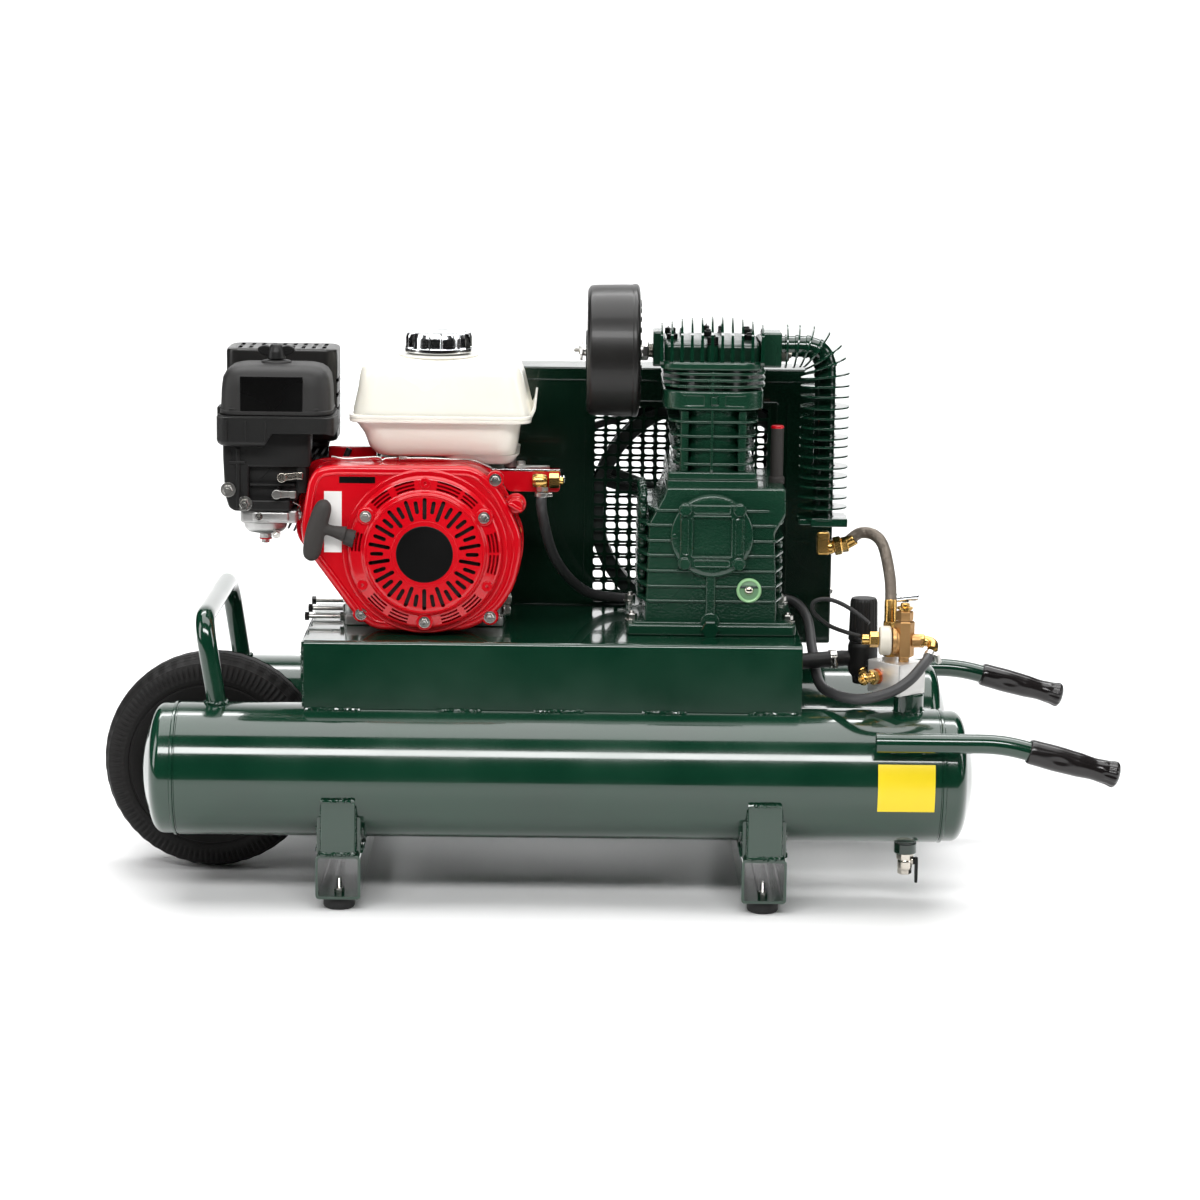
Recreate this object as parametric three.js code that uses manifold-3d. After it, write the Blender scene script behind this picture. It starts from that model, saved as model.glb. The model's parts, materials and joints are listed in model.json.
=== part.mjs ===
// Wheelbarrow air compressor: petrol engine and belt-driven pump on a deck over two air tanks.
// Millimetres. +X runs from the wheel to the handles, -Y is the recoil starter's side, +Z is up.
// The origin is on the ground, below the middle of the overall box.
import * as THREE from "three";
import { mergeVertices } from "three/addons/utils/BufferGeometryUtils.js";
import Module from "manifold-3d";

const wasm = await Module();
wasm.setup();

// ---------------------------------------------------------------- driving dimensions
const GAP = 0.3; // clearance between pieces that touch
const TANK = { r: 76.2, wall: 3, y: 145, z: 147.6, x0: -521.5, x1: 427.8, dome: 36 };
const CROSSOVER = { x: 380, reach: 74 };
const DECK = { x0: -337, x1: 229, y0: -164, y1: 92, top: 300, skirt: 195, sheet: 3.2 };
const BEAM = { size: 50.8, wall: 3.2, half: 222, base: 14, xs: { wheel_end: -294, handle_end: 187 } };
const FOOT = { r: 18, y: 199, height: 13.7 };
const WHEEL = { x: -456, r: 128, half: 43, rim: 66, hub: 19, axle: 8 };
const TUBE = { r: 11.1, wall: 2.4 };
const HANDLE = { y: 227, z: 202.7, x0: 309, bend: 451, end: 571, drop: 31.6, grip: 482, tip: 580.4, gripR: 15 };
const LOOP = { foot: -436, top: -452, z: 320, corner: 34 };
const CRANK = { x: -201, z: 398 }; // engine crankshaft axis, along Y
const HOUSING = { r: 110, top: 98, y0: -127, y1: -64 };
const PULL = { from: [-292, -140, 419], dir: [-0.97, 0, 0.243] };
const CLEANER = { x: -375, y: -64, split: 550, top: 606 };
const CHOKE = { x: -366, z: 477, y0: -104, y1: -94.4 };
const FUEL_VALVE = { x: -372, z: 458, y0: -104, y1: -94.4 };
const THROTTLE = { x: -94, y: -46, z: 489 };
const HOSE_END = { x: -69, y: -69, z: 455 }; // unloader hose, under the throttle cylinder
const GOVERNOR = { x: -236, y: -40, z: 481 };
const SWITCH = { x: CRANK.x + 102, z: 450 };
const PUMP = { x: 126, z: 414, y0: -108, y1: 76 }; // pump crankshaft axis, along Y
const FLYWHEEL = { r: 140, rim: 125, y0: 104, y1: 136 };
const PULLEY = { r: 50, y0: 106, y1: 134 };
const BELT = { y0: 114, y1: 126, thick: 8, sink: 5.5, side: 0.5, floor: 2 };
const GUARD = { x0: -269, x1: 279, y0: 95, y1: 168, z0: 256, z1: 588, sheet: 2 };
const WINDOW = { x0: -17, x1: 243, z0: 300, z1: 548, pitch: 65, bar: 5 };
const CAP = { x: -191, y: -20, z: 614.5 }; // fuel cap, on the tank's neck
const FUEL_TANK = { bottom: 498.5, seam: 541, top: 606 };
const CYLINDER = { y: [-58, 28], bore: 30 };
const LEVEL = { shoulder: 426, neck: 462, flange: 480, base: 488, band: 561, bandTop: 582, head: 606, plate: 614, tips: 661 };
const AFTERCOOLER = { x: 258, y: -12, z: 626, foot: 421, r: 12.5, fin: 29, pitch: 24 };
const FILTER = { x0: -19, x1: 40, y: -12, z: 619, r: 77 };
const MANIFOLD = { x: 338, y: -140, z0: 243, z1: 281, length: 50, depth: 44, turn: -0.85 };
const REGULATOR = { x: 306, y: -58 };
const PILOT = { x: 345, y: -148, z: 302 };
const DRAIN = { x: 353, z: 71 };

// ---------------------------------------------------------------- geometry helpers
const V = (p) => new THREE.Vector3(...p);

function solid(geometry) {
  const loose = geometry.index ? geometry.toNonIndexed() : geometry;
  const bare = new THREE.BufferGeometry().setAttribute("position", loose.getAttribute("position"));
  const merged = mergeVertices(bare, 1e-3);
  const index = merged.index.array;
  const keep = [];
  for (let i = 0; i < index.length; i += 3) {
    const [a, b, c] = [index[i], index[i + 1], index[i + 2]];
    if (a !== b && b !== c && a !== c) keep.push(a, b, c);
  }
  const build = (triVerts) =>
    new wasm.Manifold(
      new wasm.Mesh({ numProp: 3, vertProperties: merged.attributes.position.array, triVerts }),
    );
  const made = build(new Uint32Array(keep));
  return made.volume() < 0 ? build(new Uint32Array(keep).reverse()) : made;
}

// Box between two corners.
function box(x0, x1, y0, y1, z0, z1) {
  const g = new THREE.BoxGeometry(x1 - x0, y1 - y0, z1 - z0);
  g.translate((x0 + x1) / 2, (y0 + y1) / 2, (z0 + z1) / 2);
  return solid(g);
}

// Box of a size, turned about Z or Y and placed by its centre.
function turnedBox(size, centre, { y = 0, z = 0, x = 0 } = {}) {
  const g = new THREE.BoxGeometry(...size);
  g.rotateX(x);
  g.rotateY(y);
  g.rotateZ(z);
  g.translate(...centre);
  return solid(g);
}

function aim(geometry, from, to) {
  const direction = V(to).sub(V(from)).normalize();
  const turn = new THREE.Quaternion().setFromUnitVectors(new THREE.Vector3(0, 1, 0), direction);
  geometry.applyQuaternion(turn);
  geometry.translate(...from);
  return geometry;
}

// Cylinder, cone or prism between two points.
function rod(from, to, r, sides = 20, rEnd = r) {
  const length = V(from).distanceTo(V(to));
  const g = new THREE.CylinderGeometry(rEnd, r, length, sides);
  g.translate(0, length / 2, 0);
  return solid(aim(g, from, to));
}

// Solid of revolution: [radius, height] pairs, with heights measured from `from` towards `to`.
function turned(from, to, profile, sides = 28) {
  const g = new THREE.LatheGeometry(profile.map(([r, h]) => new THREE.Vector2(r, h)), sides);
  return solid(aim(g, from, to));
}

const alongY = (x, z, profile, sides) => turned([x, 0, z], [x, 1, z], profile, sides);

function disc(r) {
  const s = new THREE.Shape();
  s.absarc(0, 0, r, 0, 2 * Math.PI, false);
  return s;
}

// Round bar or, with a wall, a tube along a curve.
function sweep(curve, r, steps, { wall = 0, sides = 12 } = {}) {
  const shape = disc(r);
  if (wall) shape.holes.push(new THREE.Path().absarc(0, 0, r - wall, 0, 2 * Math.PI, true));
  const options = { extrudePath: curve, steps, curveSegments: sides, bevelEnabled: false };
  return solid(new THREE.ExtrudeGeometry(shape, options));
}

const smooth = (points) => new THREE.CatmullRomCurve3(points.map(V), false, "centripetal");

// Straight runs with rounded corners of one radius.
function bentPath(points, radius) {
  const path = new THREE.CurvePath();
  const p = points.map(V);
  let start = p[0];
  for (let i = 1; i < p.length - 1; i++) {
    const before = p[i].clone().add(p[i - 1].clone().sub(p[i]).setLength(radius));
    const after = p[i].clone().add(p[i + 1].clone().sub(p[i]).setLength(radius));
    path.add(new THREE.LineCurve3(start, before));
    path.add(new THREE.QuadraticBezierCurve3(before, p[i], after));
    start = after;
  }
  path.add(new THREE.LineCurve3(start, p[p.length - 1]));
  return path;
}

// Outline in the XZ plane, extruded along Y from y0 to y1.
function plateXZ(points, y0, y1) {
  const shape = new THREE.Shape(points.map(([x, z]) => new THREE.Vector2(x, z)));
  const g = new THREE.ExtrudeGeometry(shape, { depth: y1 - y0, bevelEnabled: false });
  g.rotateX(Math.PI / 2);
  g.translate(0, y1, 0);
  return solid(g);
}

// Block with rounded upright edges, between two corners.
function roundedBlock(x0, x1, y0, y1, z0, z1, r, arc = 3) {
  const s = new THREE.Shape();
  s.absarc(x1 - r, y1 - r, r, 0, Math.PI / 2);
  s.absarc(x0 + r, y1 - r, r, Math.PI / 2, Math.PI);
  s.absarc(x0 + r, y0 + r, r, Math.PI, 1.5 * Math.PI);
  s.absarc(x1 - r, y0 + r, r, 1.5 * Math.PI, 2 * Math.PI);
  const g = new THREE.ExtrudeGeometry(s, { depth: z1 - z0, bevelEnabled: false, curveSegments: arc });
  g.translate(0, 0, z0);
  return solid(g);
}

const join = (pieces) => pieces.reduce((whole, piece) => whole.add(piece));
const cut = (body, tools) => tools.reduce((rest, tool) => rest.subtract(tool), body);

// ---------------------------------------------------------------- finishes
const finish = (color, roughness, metalness) =>
  new THREE.MeshStandardMaterial({ color, roughness, metalness });
const green = () => finish(0x12281d, 0.25, 0.1);
const red = () => finish(0xc8102e, 0.3, 0.1);
const black = () => finish(0x1b1b1c, 0.6, 0);
const rubber = () => finish(0x202020, 0.85, 0);
const steel = () => finish(0x9a9a98, 0.4, 0.9);
const brass = () => finish(0xb98a3c, 0.3, 0.9);
const alloy = () => finish(0xa9aaa8, 0.5, 0.8);
const cream = () => finish(0xece8dc, 0.35, 0);
const chrome = () => finish(0xd0d0d0, 0.1, 1);

const compressor = new THREE.Group();

function add(name, made, material) {
  const { numProp, vertProperties, triVerts } = made.getMesh();
  const position = new Float32Array((vertProperties.length / numProp) * 3);
  for (let i = 0; i < position.length / 3; i++) {
    position.set(vertProperties.subarray(i * numProp, i * numProp + 3), i * 3);
  }
  const g = new THREE.BufferGeometry().setAttribute("position", new THREE.BufferAttribute(position, 3));
  g.setIndex(new THREE.BufferAttribute(triVerts, 1));
  g.computeVertexNormals();
  const mesh = new THREE.Mesh(g, material);
  mesh.name = name;
  compressor.add(mesh);
}

// ---------------------------------------------------------------- tanks and chassis
function tankProfile(r, dome, x0, x1) {
  const steps = 3;
  const points = [];
  for (let i = 0; i <= steps; i++) {
    const a = (i / steps) * (Math.PI / 2);
    points.push([r * Math.sin(a), x0 + dome * (1 - Math.cos(a))]);
  }
  for (let i = steps; i >= 0; i--) {
    const a = (i / steps) * (Math.PI / 2);
    points.push([r * Math.sin(a), x1 - dome * (1 - Math.cos(a))]);
  }
  return points;
}

// The tank's outside grown by the gap, for coping whatever is fitted to it.
const tankCutter = (side) =>
  rod([TANK.x0 - 9, side * TANK.y, TANK.z], [TANK.x1 + 9, side * TANK.y, TANK.z], TANK.r + GAP + 0.3, 48);

// Each tank carries its axle bracket, and the front one the crossover pipe, as one weldment.
function airTank(side) {
  const axis = [[0, side * TANK.y, TANK.z], [1, side * TANK.y, TANK.z]];
  const { r, wall, dome, x0, x1 } = TANK;
  const shell = turned(...axis, tankProfile(r, dome, x0, x1), 28);
  const hollow = turned(...axis, tankProfile(r - wall, dome - wall, x0 + wall, x1 - wall), 28);
  const inner = side * (TANK.y - r - 6);
  const ports = [rod([CROSSOVER.x, inner, TANK.z], [CROSSOVER.x, side * TANK.y, TANK.z], 8 + GAP, 12)];
  const bracket = axleBracket(side, shell);
  if (side > 0) return cut(shell, [hollow, ...ports]).add(bracket);
  const bored = rod([CROSSOVER.x, -CROSSOVER.reach - 2, TANK.z], [CROSSOVER.x, CROSSOVER.reach + 1, TANK.z], 6, 12);
  return join([shell.subtract(hollow), bracket, crossover()]).subtract(bored);
}

function deck() {
  const { x0, x1, y0, y1, top, skirt, sheet } = DECK;
  const channel = cut(box(x0, x1, y0, y1, skirt, top), [
    box(x0 - 1, x1 + 1, y0 + sheet, y1 - sheet, skirt - 1, top - sheet),
  ]);
  const endPlate = box(x0 - sheet, x0 + 0.5, y0 + 4, y1 - 4, top - 40, top - 1);
  return cut(channel.add(endPlate), [tankCutter(-1), tankCutter(1)]);
}

function footBeam(x) {
  const { size, wall, half, base } = BEAM;
  const w = size / 2;
  const tube = cut(box(x - w, x + w, -half, half, base, base + size), [
    box(x - w + wall, x + w - wall, -half - 1, half + 1, base + wall, base + size - wall),
  ]);
  const supports = [-1, 1].flatMap((side) => {
    const postY = [side * (half - 0.2), side * (half - 13)].sort((a, b) => a - b);
    const saddleY = [side * (half - 12), side * (TANK.y - 34)].sort((a, b) => a - b);
    return [
      box(x - 19.4, x + 19.4, ...postY, base + size - 0.5, 128),
      box(x - 25, x + 25, ...saddleY, base + size - 0.5, 112),
    ];
  });
  return cut(join([tube, ...supports]), [tankCutter(-1), tankCutter(1)]);
}

function rubberFoot(x, y) {
  const { r, height } = FOOT;
  return turned([x, y, 0], [x, y, 1], [[0, 0], [r - 2, 0], [r, 3], [r, height], [0, height]], 20);
}

function liftingLoop() {
  const { foot, top, z, corner } = LOOP;
  const low = TANK.z + TANK.r - 4;
  const route = [[foot, -TANK.y, low], [top, -TANK.y, z], [top, TANK.y, z], [foot, TANK.y, low]];
  const loop = sweep(bentPath(route, corner), TUBE.r, 22, { wall: TUBE.wall, sides: 5 });
  return cut(loop, [tankCutter(-1), tankCutter(1)]);
}

function handleTube(side) {
  const { y, z, x0, bend, end, drop } = HANDLE;
  const route = [[x0, side * y, z], [bend, side * y, z], [end, side * y, z - drop]];
  const tube = sweep(bentPath(route, 24), TUBE.r, 8, { wall: TUBE.wall, sides: 5 });
  const lean = Math.atan2(z - TANK.z, y - TANK.y);
  const mid = (TANK.r + TUBE.r) / 2 + 44;
  const centre = [0, side * (TANK.y + mid * Math.cos(lean)), TANK.z + mid * Math.sin(lean)];
  const spacers = [336, 372].map((x) =>
    turnedBox([14, 20, 8], [x, centre[1], centre[2]], { x: side * lean }),
  );
  const outer = join([tube, ...spacers]);
  const bore = rod([x0 - 5, side * y, z], [bend - 30, side * y, z], TUBE.r - TUBE.wall - 0.2, 12);
  return cut(outer, [tankCutter(side), bore]);
}

function grip(side) {
  const { y, z, bend, end, drop, grip: start, tip, gripR } = HANDLE;
  const slope = drop / (end - bend);
  const at = (x) => [x, side * y, z - (x - bend) * slope];
  const length = Math.hypot(tip - start, (tip - start) * slope);
  const outline = [
    [TUBE.r + GAP + 0.3, 0],
    [gripR, 1],
    [gripR - 1.5, 30],
    [gripR, length * 0.5],
    [gripR - 1, length * 0.8],
    [gripR + 1, length - 4],
    [gripR - 2, length],
    [0, length],
    [0, length - 4.5],
    [TUBE.r + GAP + 0.3, length - 4.5],
    [TUBE.r + GAP + 0.3, 0],
  ];
  return turned(at(start), at(start + 10), outline, 16);
}

function axleBracket(side, shell) {
  const y = [side * 46.5, side * 51.5].sort((a, b) => a - b);
  const web = [side * 51, side * 90].sort((a, b) => a - b);
  const { x, r, axle } = WHEEL;
  const plate = box(x - 22, x + 22, ...y, r - 24, r + 34);
  const ribs = [box(x - 22, x - 17, ...web, r - 24, r + 34), box(x + 17, x + 22, ...web, r - 24, r + 34)];
  return cut(join([plate, ...ribs]), [shell, rod([x, -60, r], [x, 60, r], axle + GAP, 24)]);
}

function axle() {
  const { x, r, axle: radius } = WHEEL;
  const bar = [[0, -58], [radius, -58], [radius, 58], [0, 58]];
  return alongY(x, r, bar, 24);
}

function tyre() {
  const { x, r, half, rim } = WHEEL;
  const section = [
    [rim + GAP, -27],
    [rim + 14, -36],
    [95, -half],
    [r - 16, -half],
    [r - 4, -32],
    [r, -14],
    [r, 14],
    [r - 4, 32],
    [r - 16, half],
    [95, half],
    [rim + 14, 36],
    [rim + GAP, 27],
    [rim + GAP, -27],
  ];
  return alongY(x, r, section, 28);
}

function rim() {
  const { x, r, rim: outer, hub, axle: bore } = WHEEL;
  const ring = alongY(x, r, [[outer - 6, -26], [outer, -26], [outer, 26], [outer - 6, 26], [outer - 6, -26]], 28);
  const web = alongY(x, r, [[hub - 3, -4], [outer - 3, -4], [outer - 3, 4], [hub - 3, 4], [hub - 3, -4]], 24);
  const b = bore + GAP;
  const centre = alongY(x, r, [[b, -45], [hub, -45], [hub, 45], [b, 45], [b, -45]], 24);
  return join([ring, web, centre]);
}

function crossover() {
  const { x, reach } = CROSSOVER;
  return rod([x, -reach, TANK.z], [x, reach, TANK.z], 8, 12);
}

// ---------------------------------------------------------------- engine

function engineBlock() {
  const { x, z } = CRANK;
  const base = box(x - 96, x + 88, -62, 70, DECK.top + GAP, DECK.top + 12);
  const walls = box(x - 82, x + 86, -58, 72, DECK.top + 10, 480);
  const cavity = box(x - 70, x + 74, -46, 60, DECK.top + 22, 468);
  const shaft = rod([x, -70, z], [x, 80, z], 15, 20);
  return cut(join([base, walls, engineCylinder()]), [cavity, shaft]);
}

function engineCylinder() {
  const lean = 0.42;
  const start = [CRANK.x - 84, 426];
  const along = (d) => [start[0] - d * Math.cos(lean), 12, start[1] + d * Math.sin(lean)];
  const barrel = turnedBox([96, 84, 78], along(50), { y: lean });
  const fins = [14, 28, 42, 56, 70, 84].map((d) => turnedBox([4, 100, 98], along(d), { y: lean }));
  const plug = rod(along(96), along(118), 9, 6);
  const shape = join([barrel, ...fins, plug]);
  return cut(shape, [box(CRANK.x - 80, 0, -90, 100, 300, 600), box(-500, 0, -90, 100, 494, 700)]);
}

function blowerOutline(inset) {
  const { x, z } = CRANK;
  const right = [];
  for (let i = 0; i <= 8; i++) {
    const a = -0.95 + (i / 8) * 1.95;
    right.push([x + (HOUSING.r - inset) * Math.cos(a), z + (HOUSING.r - inset) * Math.sin(a)]);
  }
  return [
    [x - 60 + inset, z - 94 + inset],
    [x + 50, z - 94 + inset],
    ...right,
    [x + 20, z + HOUSING.top - inset],
    [x - 122 + inset, z + HOUSING.top - inset],
    [x - 134 + inset, z + 80 - inset],
    [x - 146 + inset, z + 42],
    [x - 147 + inset, z + 10],
    [x - 102 + inset, z - 62 + inset],
  ];
}

function blowerHousing() {
  const { x, z } = CRANK;
  const skin = 2.5;
  const { y0, y1 } = HOUSING;
  const outer = plateXZ(blowerOutline(0), y0, y1);
  const inner = plateXZ(blowerOutline(skin), y0 + skin, y1 + 4);
  const eye = rod([x, y0 - 10, z], [x, y0 + 17, z], 76, 32);
  const pocket = rod([SWITCH.x, y0 - 10, SWITCH.z], [SWITCH.x, -99.7, SWITCH.z], 12, 20);
  return cut(outer, [inner, eye, pocket]).add(switchBox());
}

function recoilCover() {
  const { x, z } = CRANK;
  const skin = 2.5;
  const outside = [[0, -149], [34, -149], [58, -145], [70, -138], [88, -134], [88, -127 - GAP]];
  const inside = [[88 - 12, -127 - GAP], [70 - skin, -138 + skin], [34, -149 + skin], [0, -149 + skin]];
  const shell = alongY(x, z, [...outside, ...inside], 28);
  const slots = Array.from({ length: 8 }, (_, i) => {
    const a = (i / 8) * 2 * Math.PI;
    const centre = [x + 46 * Math.cos(a), -145, z + 46 * Math.sin(a)];
    return turnedBox([20, 20, 5], centre, { y: -a });
  });
  const guide = turned([x - 84, -134, z + 16], [x - 92, -134, z + 18], [[0, 0], [7, 0], [7, 5], [0, 5]], 12);
  return cut(shell.add(guide), slots);
}

function recoilHandle() {
  const at = (d) => PULL.from.map((v, i) => v + d * PULL.dir[i]);
  const bar = turned([-314, -140, 456], [-330, -140, 390], [[0, 0], [7, 1], [9, 10], [9, 58], [7, 67], [0, 68]], 12);
  return bar.add(rod(at(0), at(30), 6.5, 12, 8.5));
}

function fan() {
  const { x, z } = CRANK;
  const hub = alongY(x, z, [[13.2, -118], [30, -118], [30, -104], [72, -100], [72, -76], [13.2, -76], [13.2, -118]], 28);
  const blades = Array.from({ length: 8 }, (_, i) => {
    const a = (i / 8) * 2 * Math.PI;
    const centre = [x + 58 * Math.cos(a), -106, z + 58 * Math.sin(a)];
    return turnedBox([26, 14, 2.5], centre, { y: -a });
  });
  return join([hub, ...blades]);
}

function engineCrankshaft() {
  const { x, z } = CRANK;
  const shaft = alongY(x, z, [[0, -122], [12.7, -122], [12.7, 88], [9.5, 90], [9.5, 140], [0, 140]], 20);
  const webs = [-14, 22].map((y) => rod([x, y, z], [x, y + 8, z], 36, 16));
  const pin = rod([x, -8, z + 21], [x, 24, z + 21], 11, 16);
  return join([shaft, ...webs, pin]);
}

function drivePulley() {
  const { x, z } = CRANK;
  const { r, y0, y1 } = PULLEY;
  const floor = r - BELT.sink - BELT.floor;
  const bore = 9.5 + GAP;
  const profile = [
    [bore, y0],
    [r, y0],
    [r, BELT.y0 - BELT.side],
    [floor, BELT.y0 - BELT.side],
    [floor, BELT.y1 + BELT.side],
    [r, BELT.y1 + BELT.side],
    [r, y1],
    [bore, y1],
    [bore, y0],
  ];
  return alongY(x, z, profile, 24);
}

function fuelTank() {
  const { bottom, seam, top } = FUEL_TANK;
  const lower = roundedBlock(-277, -94, -80, 56, bottom, seam, 24);
  const sump = roundedBlock(-178, -104, -54, 50, 489, bottom + 2, 12);
  const flange = roundedBlock(-291, -76, -96, 66, seam - 1, seam + 8, 18);
  const upper = roundedBlock(-286, -84, -92, 62, seam + 7, top, 22);
  const neck = rod([CAP.x, CAP.y, top - 4], [CAP.x, CAP.y, CAP.z], 46, 28, 42);
  const lowerInside = roundedBlock(-273, -98, -76, 52, bottom + 4, seam + 12, 22);
  const upperInside = roundedBlock(-282, -88, -88, 58, seam + 11, top - 4, 20);
  const mouth = rod([CAP.x, CAP.y, top - 14], [CAP.x, CAP.y, top + 20], 26, 24);
  return cut(join([lower, sump, flange, upper, neck]), [lowerInside, upperInside, mouth]);
}

function fuelCap() {
  const { x, y, z } = CAP;
  const outside = [[36, z + GAP], [40, z + 5], [40, z + 20], [34, z + 25], [0, z + 26]];
  const inside = [[0, z + 22], [32, z + 21], [34, z + 18], [34, z + GAP], [36, z + GAP]];
  return turned([x, y, 0], [x, y, 1], [...outside, ...inside], 24);
}

function airCleanerBase() {
  const { x, y, split } = CLEANER;
  const band = roundedBlock(x - 65, x + 67, y - 55, y + 50, split - 36, split, 16);
  const elbow = roundedBlock(x - 59, x + 26, y - 30, y + 22, 438, split - 35, 14);
  const bowl = roundedBlock(x - 58, x + 60, y - 49, y + 44, split - 30, split + 1, 12);
  const duct = roundedBlock(x - 50, x - 10, y - 22, y + 14, 450, split - 20, 8);
  return cut(band.add(elbow), [bowl, duct]);
}

function airCleanerCover() {
  const { x, y, split, top } = CLEANER;
  const skin = 3;
  const shell = roundedBlock(x - 62, x + 64, y - 52, y + 47, split + GAP, top, 18);
  const hollow = [x - 62 + skin, x + 64 - skin, y - 52 + skin, y + 47 - skin];
  const inside = roundedBlock(...hollow, split - 6, top - skin, 15);
  const post = rod([x, y, top - 12], [x, y, top + 3], 14, 16);
  return shell.subtract(inside).add(post);
}

function airCleanerKnob() {
  const { x, y, top } = CLEANER;
  const hub = rod([x, y, top + 3 + GAP], [x, y, top + 20], 10, 14);
  return join([hub, box(x - 23, x + 23, y - 3.5, y + 3.5, top + 7, top + 20)]);
}

function carburettor() {
  const { x, y } = CLEANER;
  const body = box(x - 40, x + 26, y - 20, y + 18, 426, 438 - GAP);
  const bowl = turned([x - 12, y, 0], [x - 12, y, 1], [[0, 402], [7, 402], [7, 408], [22, 411], [25, 416], [25, 427], [0, 427]], 18);
  return body.add(bowl);
}

// Small flat lever with a round eye, turning about an axis along Y.
function smallLever(x, z, y0, y1, length, angle) {
  const eye = rod([x, y0, z], [x, y1, z], 5, 12);
  const dx = (length / 2) * Math.cos(angle);
  const dz = (length / 2) * Math.sin(angle);
  return eye.add(turnedBox([length, 2.4, 7], [x + dx, (y0 + y1) / 2 - 0.6, z + dz], { y: -angle }));
}

function muffler() {
  const shell = roundedBlock(-442, -311, 8, 88, 505, 614, 16);
  const inside = roundedBlock(-434, -319, 14, 82, 511, 608, 11);
  const outlet = rod([-448, 48, 560], [-428, 48, 560], 9, 14);
  const pipe = rod([-449, 48, 560], [-424, 48, 560], 6.5, 14);
  return cut(shell.add(outlet), [inside, pipe]);
}

function controlBracket() {
  const plate = box(-116, -46, -62, -30, 480, 482.5);
  const face = box(-116, -46, -62, -59.5, 459, 482);
  const cylinder = rod([-81, -69, 473], [-48.5, -69, 473], 7.4, 6);
  const fitting = rod([HOSE_END.x, HOSE_END.y, HOSE_END.z + 1], [HOSE_END.x, HOSE_END.y, 474], 6, 6);
  const boss = rod([-70, -69, 473], [-70, -58, 473], 6, 10);
  return join([plate, face, cylinder, boss, fitting]);
}

function throttleLever() {
  const { x, y, z } = THROTTLE;
  const pivot = rod([x, y, 482.5 + GAP], [x, y, z], 5.5, 12);
  return pivot.add(box(x - 3, x + 34, y - 3.5, y + 3.5, z - 4, z - 1.5));
}

function governorArm() {
  const { x, y, z } = GOVERNOR;
  const pivot = rod([x, y, z - 0.7 + GAP], [x, y, z + 12], 4.5, 12);
  const arm = box(x - 4, x + 4, y - 22, y + 4, z + 9, z + 12);
  const link = rod([x, y - 19, z + 13], [x - 66, y - 19, z + 13], 1.8, 8);
  return join([pivot, arm, link]);
}

function stopSwitch() {
  const { x, z } = SWITCH;
  return rod([x, -100, z], [x, -122, z], 9.5, 16).add(box(x - 8.5, x + 8.5, -128, -121, z - 2.5, z + 2.5));
}

function switchBox() {
  const { x, z } = SWITCH;
  return box(x - 20, x + 14, -99.7, -66, z - 13, z + 13);
}

// ---------------------------------------------------------------- pump
function pumpCrankcase() {
  const { x, z, y0, y1 } = PUMP;
  const base = box(x - 96, x + 97, y0, y1, DECK.top + GAP, DECK.top + 18);
  const outline = [
    [x - 74, DECK.top + 16],
    [x + 74, DECK.top + 16],
    [x + 72, LEVEL.shoulder],
    [x + 53, LEVEL.neck],
    [x + 53, LEVEL.flange],
    [x - 53, LEVEL.flange],
    [x - 53, LEVEL.neck],
    [x - 72, LEVEL.shoulder],
  ];
  const body = plateXZ(outline, y0 + 8, y1);
  const boss = box(x + 50, x + 84, -60, -20, LEVEL.shoulder + 12, LEVEL.neck + 8);
  const ribs = [337, 355, 373, 391, 409, 426].map((h) => box(x - 78, x + 78, y0 + 5, y1 - 8, h, h + 4));
  const cavity = box(x - 64, x + 64, y0 + 18, y1 - 12, DECK.top + 12, LEVEL.shoulder - 2);
  const shoulder = box(x - 46, x + 46, y0 + 18, y1 - 12, LEVEL.shoulder - 3, LEVEL.neck + 2);
  const openings = [
    rod([x, y0 - 5, z], [x, -60, z], 38, 28),
    rod([x, 40, z], [x, y1 + 5, z], 19, 20),
    ...CYLINDER.y.map((y) => rod([x, y, LEVEL.neck - 5], [x, y, LEVEL.flange + 5], CYLINDER.bore, 24)),
  ];
  return cut(join([base, body, boss, ...ribs]), [cavity, shoulder, ...openings]);
}

function bearingCover() {
  const { x, z, y0 } = PUMP;
  const face = y0 + 5 - GAP;
  const plug = [[0, -113], [43, -113], [46, -110], [46, face], [37.4, face], [37.4, -88], [18, -88], [18, -104], [0, -104]];
  return alongY(x, z, plug, 24);
}

function pumpCrankshaft() {
  const { x, z } = PUMP;
  const journal = alongY(x, z, [[0, -103], [16, -103], [16, 100], [13, 140], [0, 140]], 20);
  const throws = CYLINDER.y.flatMap((y, i) => {
    const offset = i ? -20 : 20;
    return [
      rod([x, y - 20, z], [x, y - 12, z], 40, 16),
      rod([x, y + 12, z], [x, y + 20, z], 40, 16),
      rod([x, y - 14, z + offset], [x, y + 14, z + offset], 13, 12),
    ];
  });
  return join([journal, ...throws]);
}

function pumpCylinders() {
  const { x } = PUMP;
  const base = box(x - 51, x + 49, -100, 70, LEVEL.flange + GAP, LEVEL.base);
  const barrel = box(x - 40, x + 38, -94, 64, LEVEL.base - 1, LEVEL.head - GAP);
  const lowFins = [496, 513, 528, 544].map((z) => box(x - 51, x + 49, -98, 68, z, z + 3));
  const band = box(x - 51, x + 49, -98, 68, LEVEL.band, LEVEL.bandTop);
  const highFins = [582, 591, 600].map((z) => box(x - 60, x + 55, -104, 72, z - 0.5, z + 2.5));
  const bores = CYLINDER.y.map((y) => rod([x, y, 470], [x, y, 615], CYLINDER.bore, 24));
  return cut(join([base, barrel, ...lowFins, band, ...highFins]), bores);
}

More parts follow.
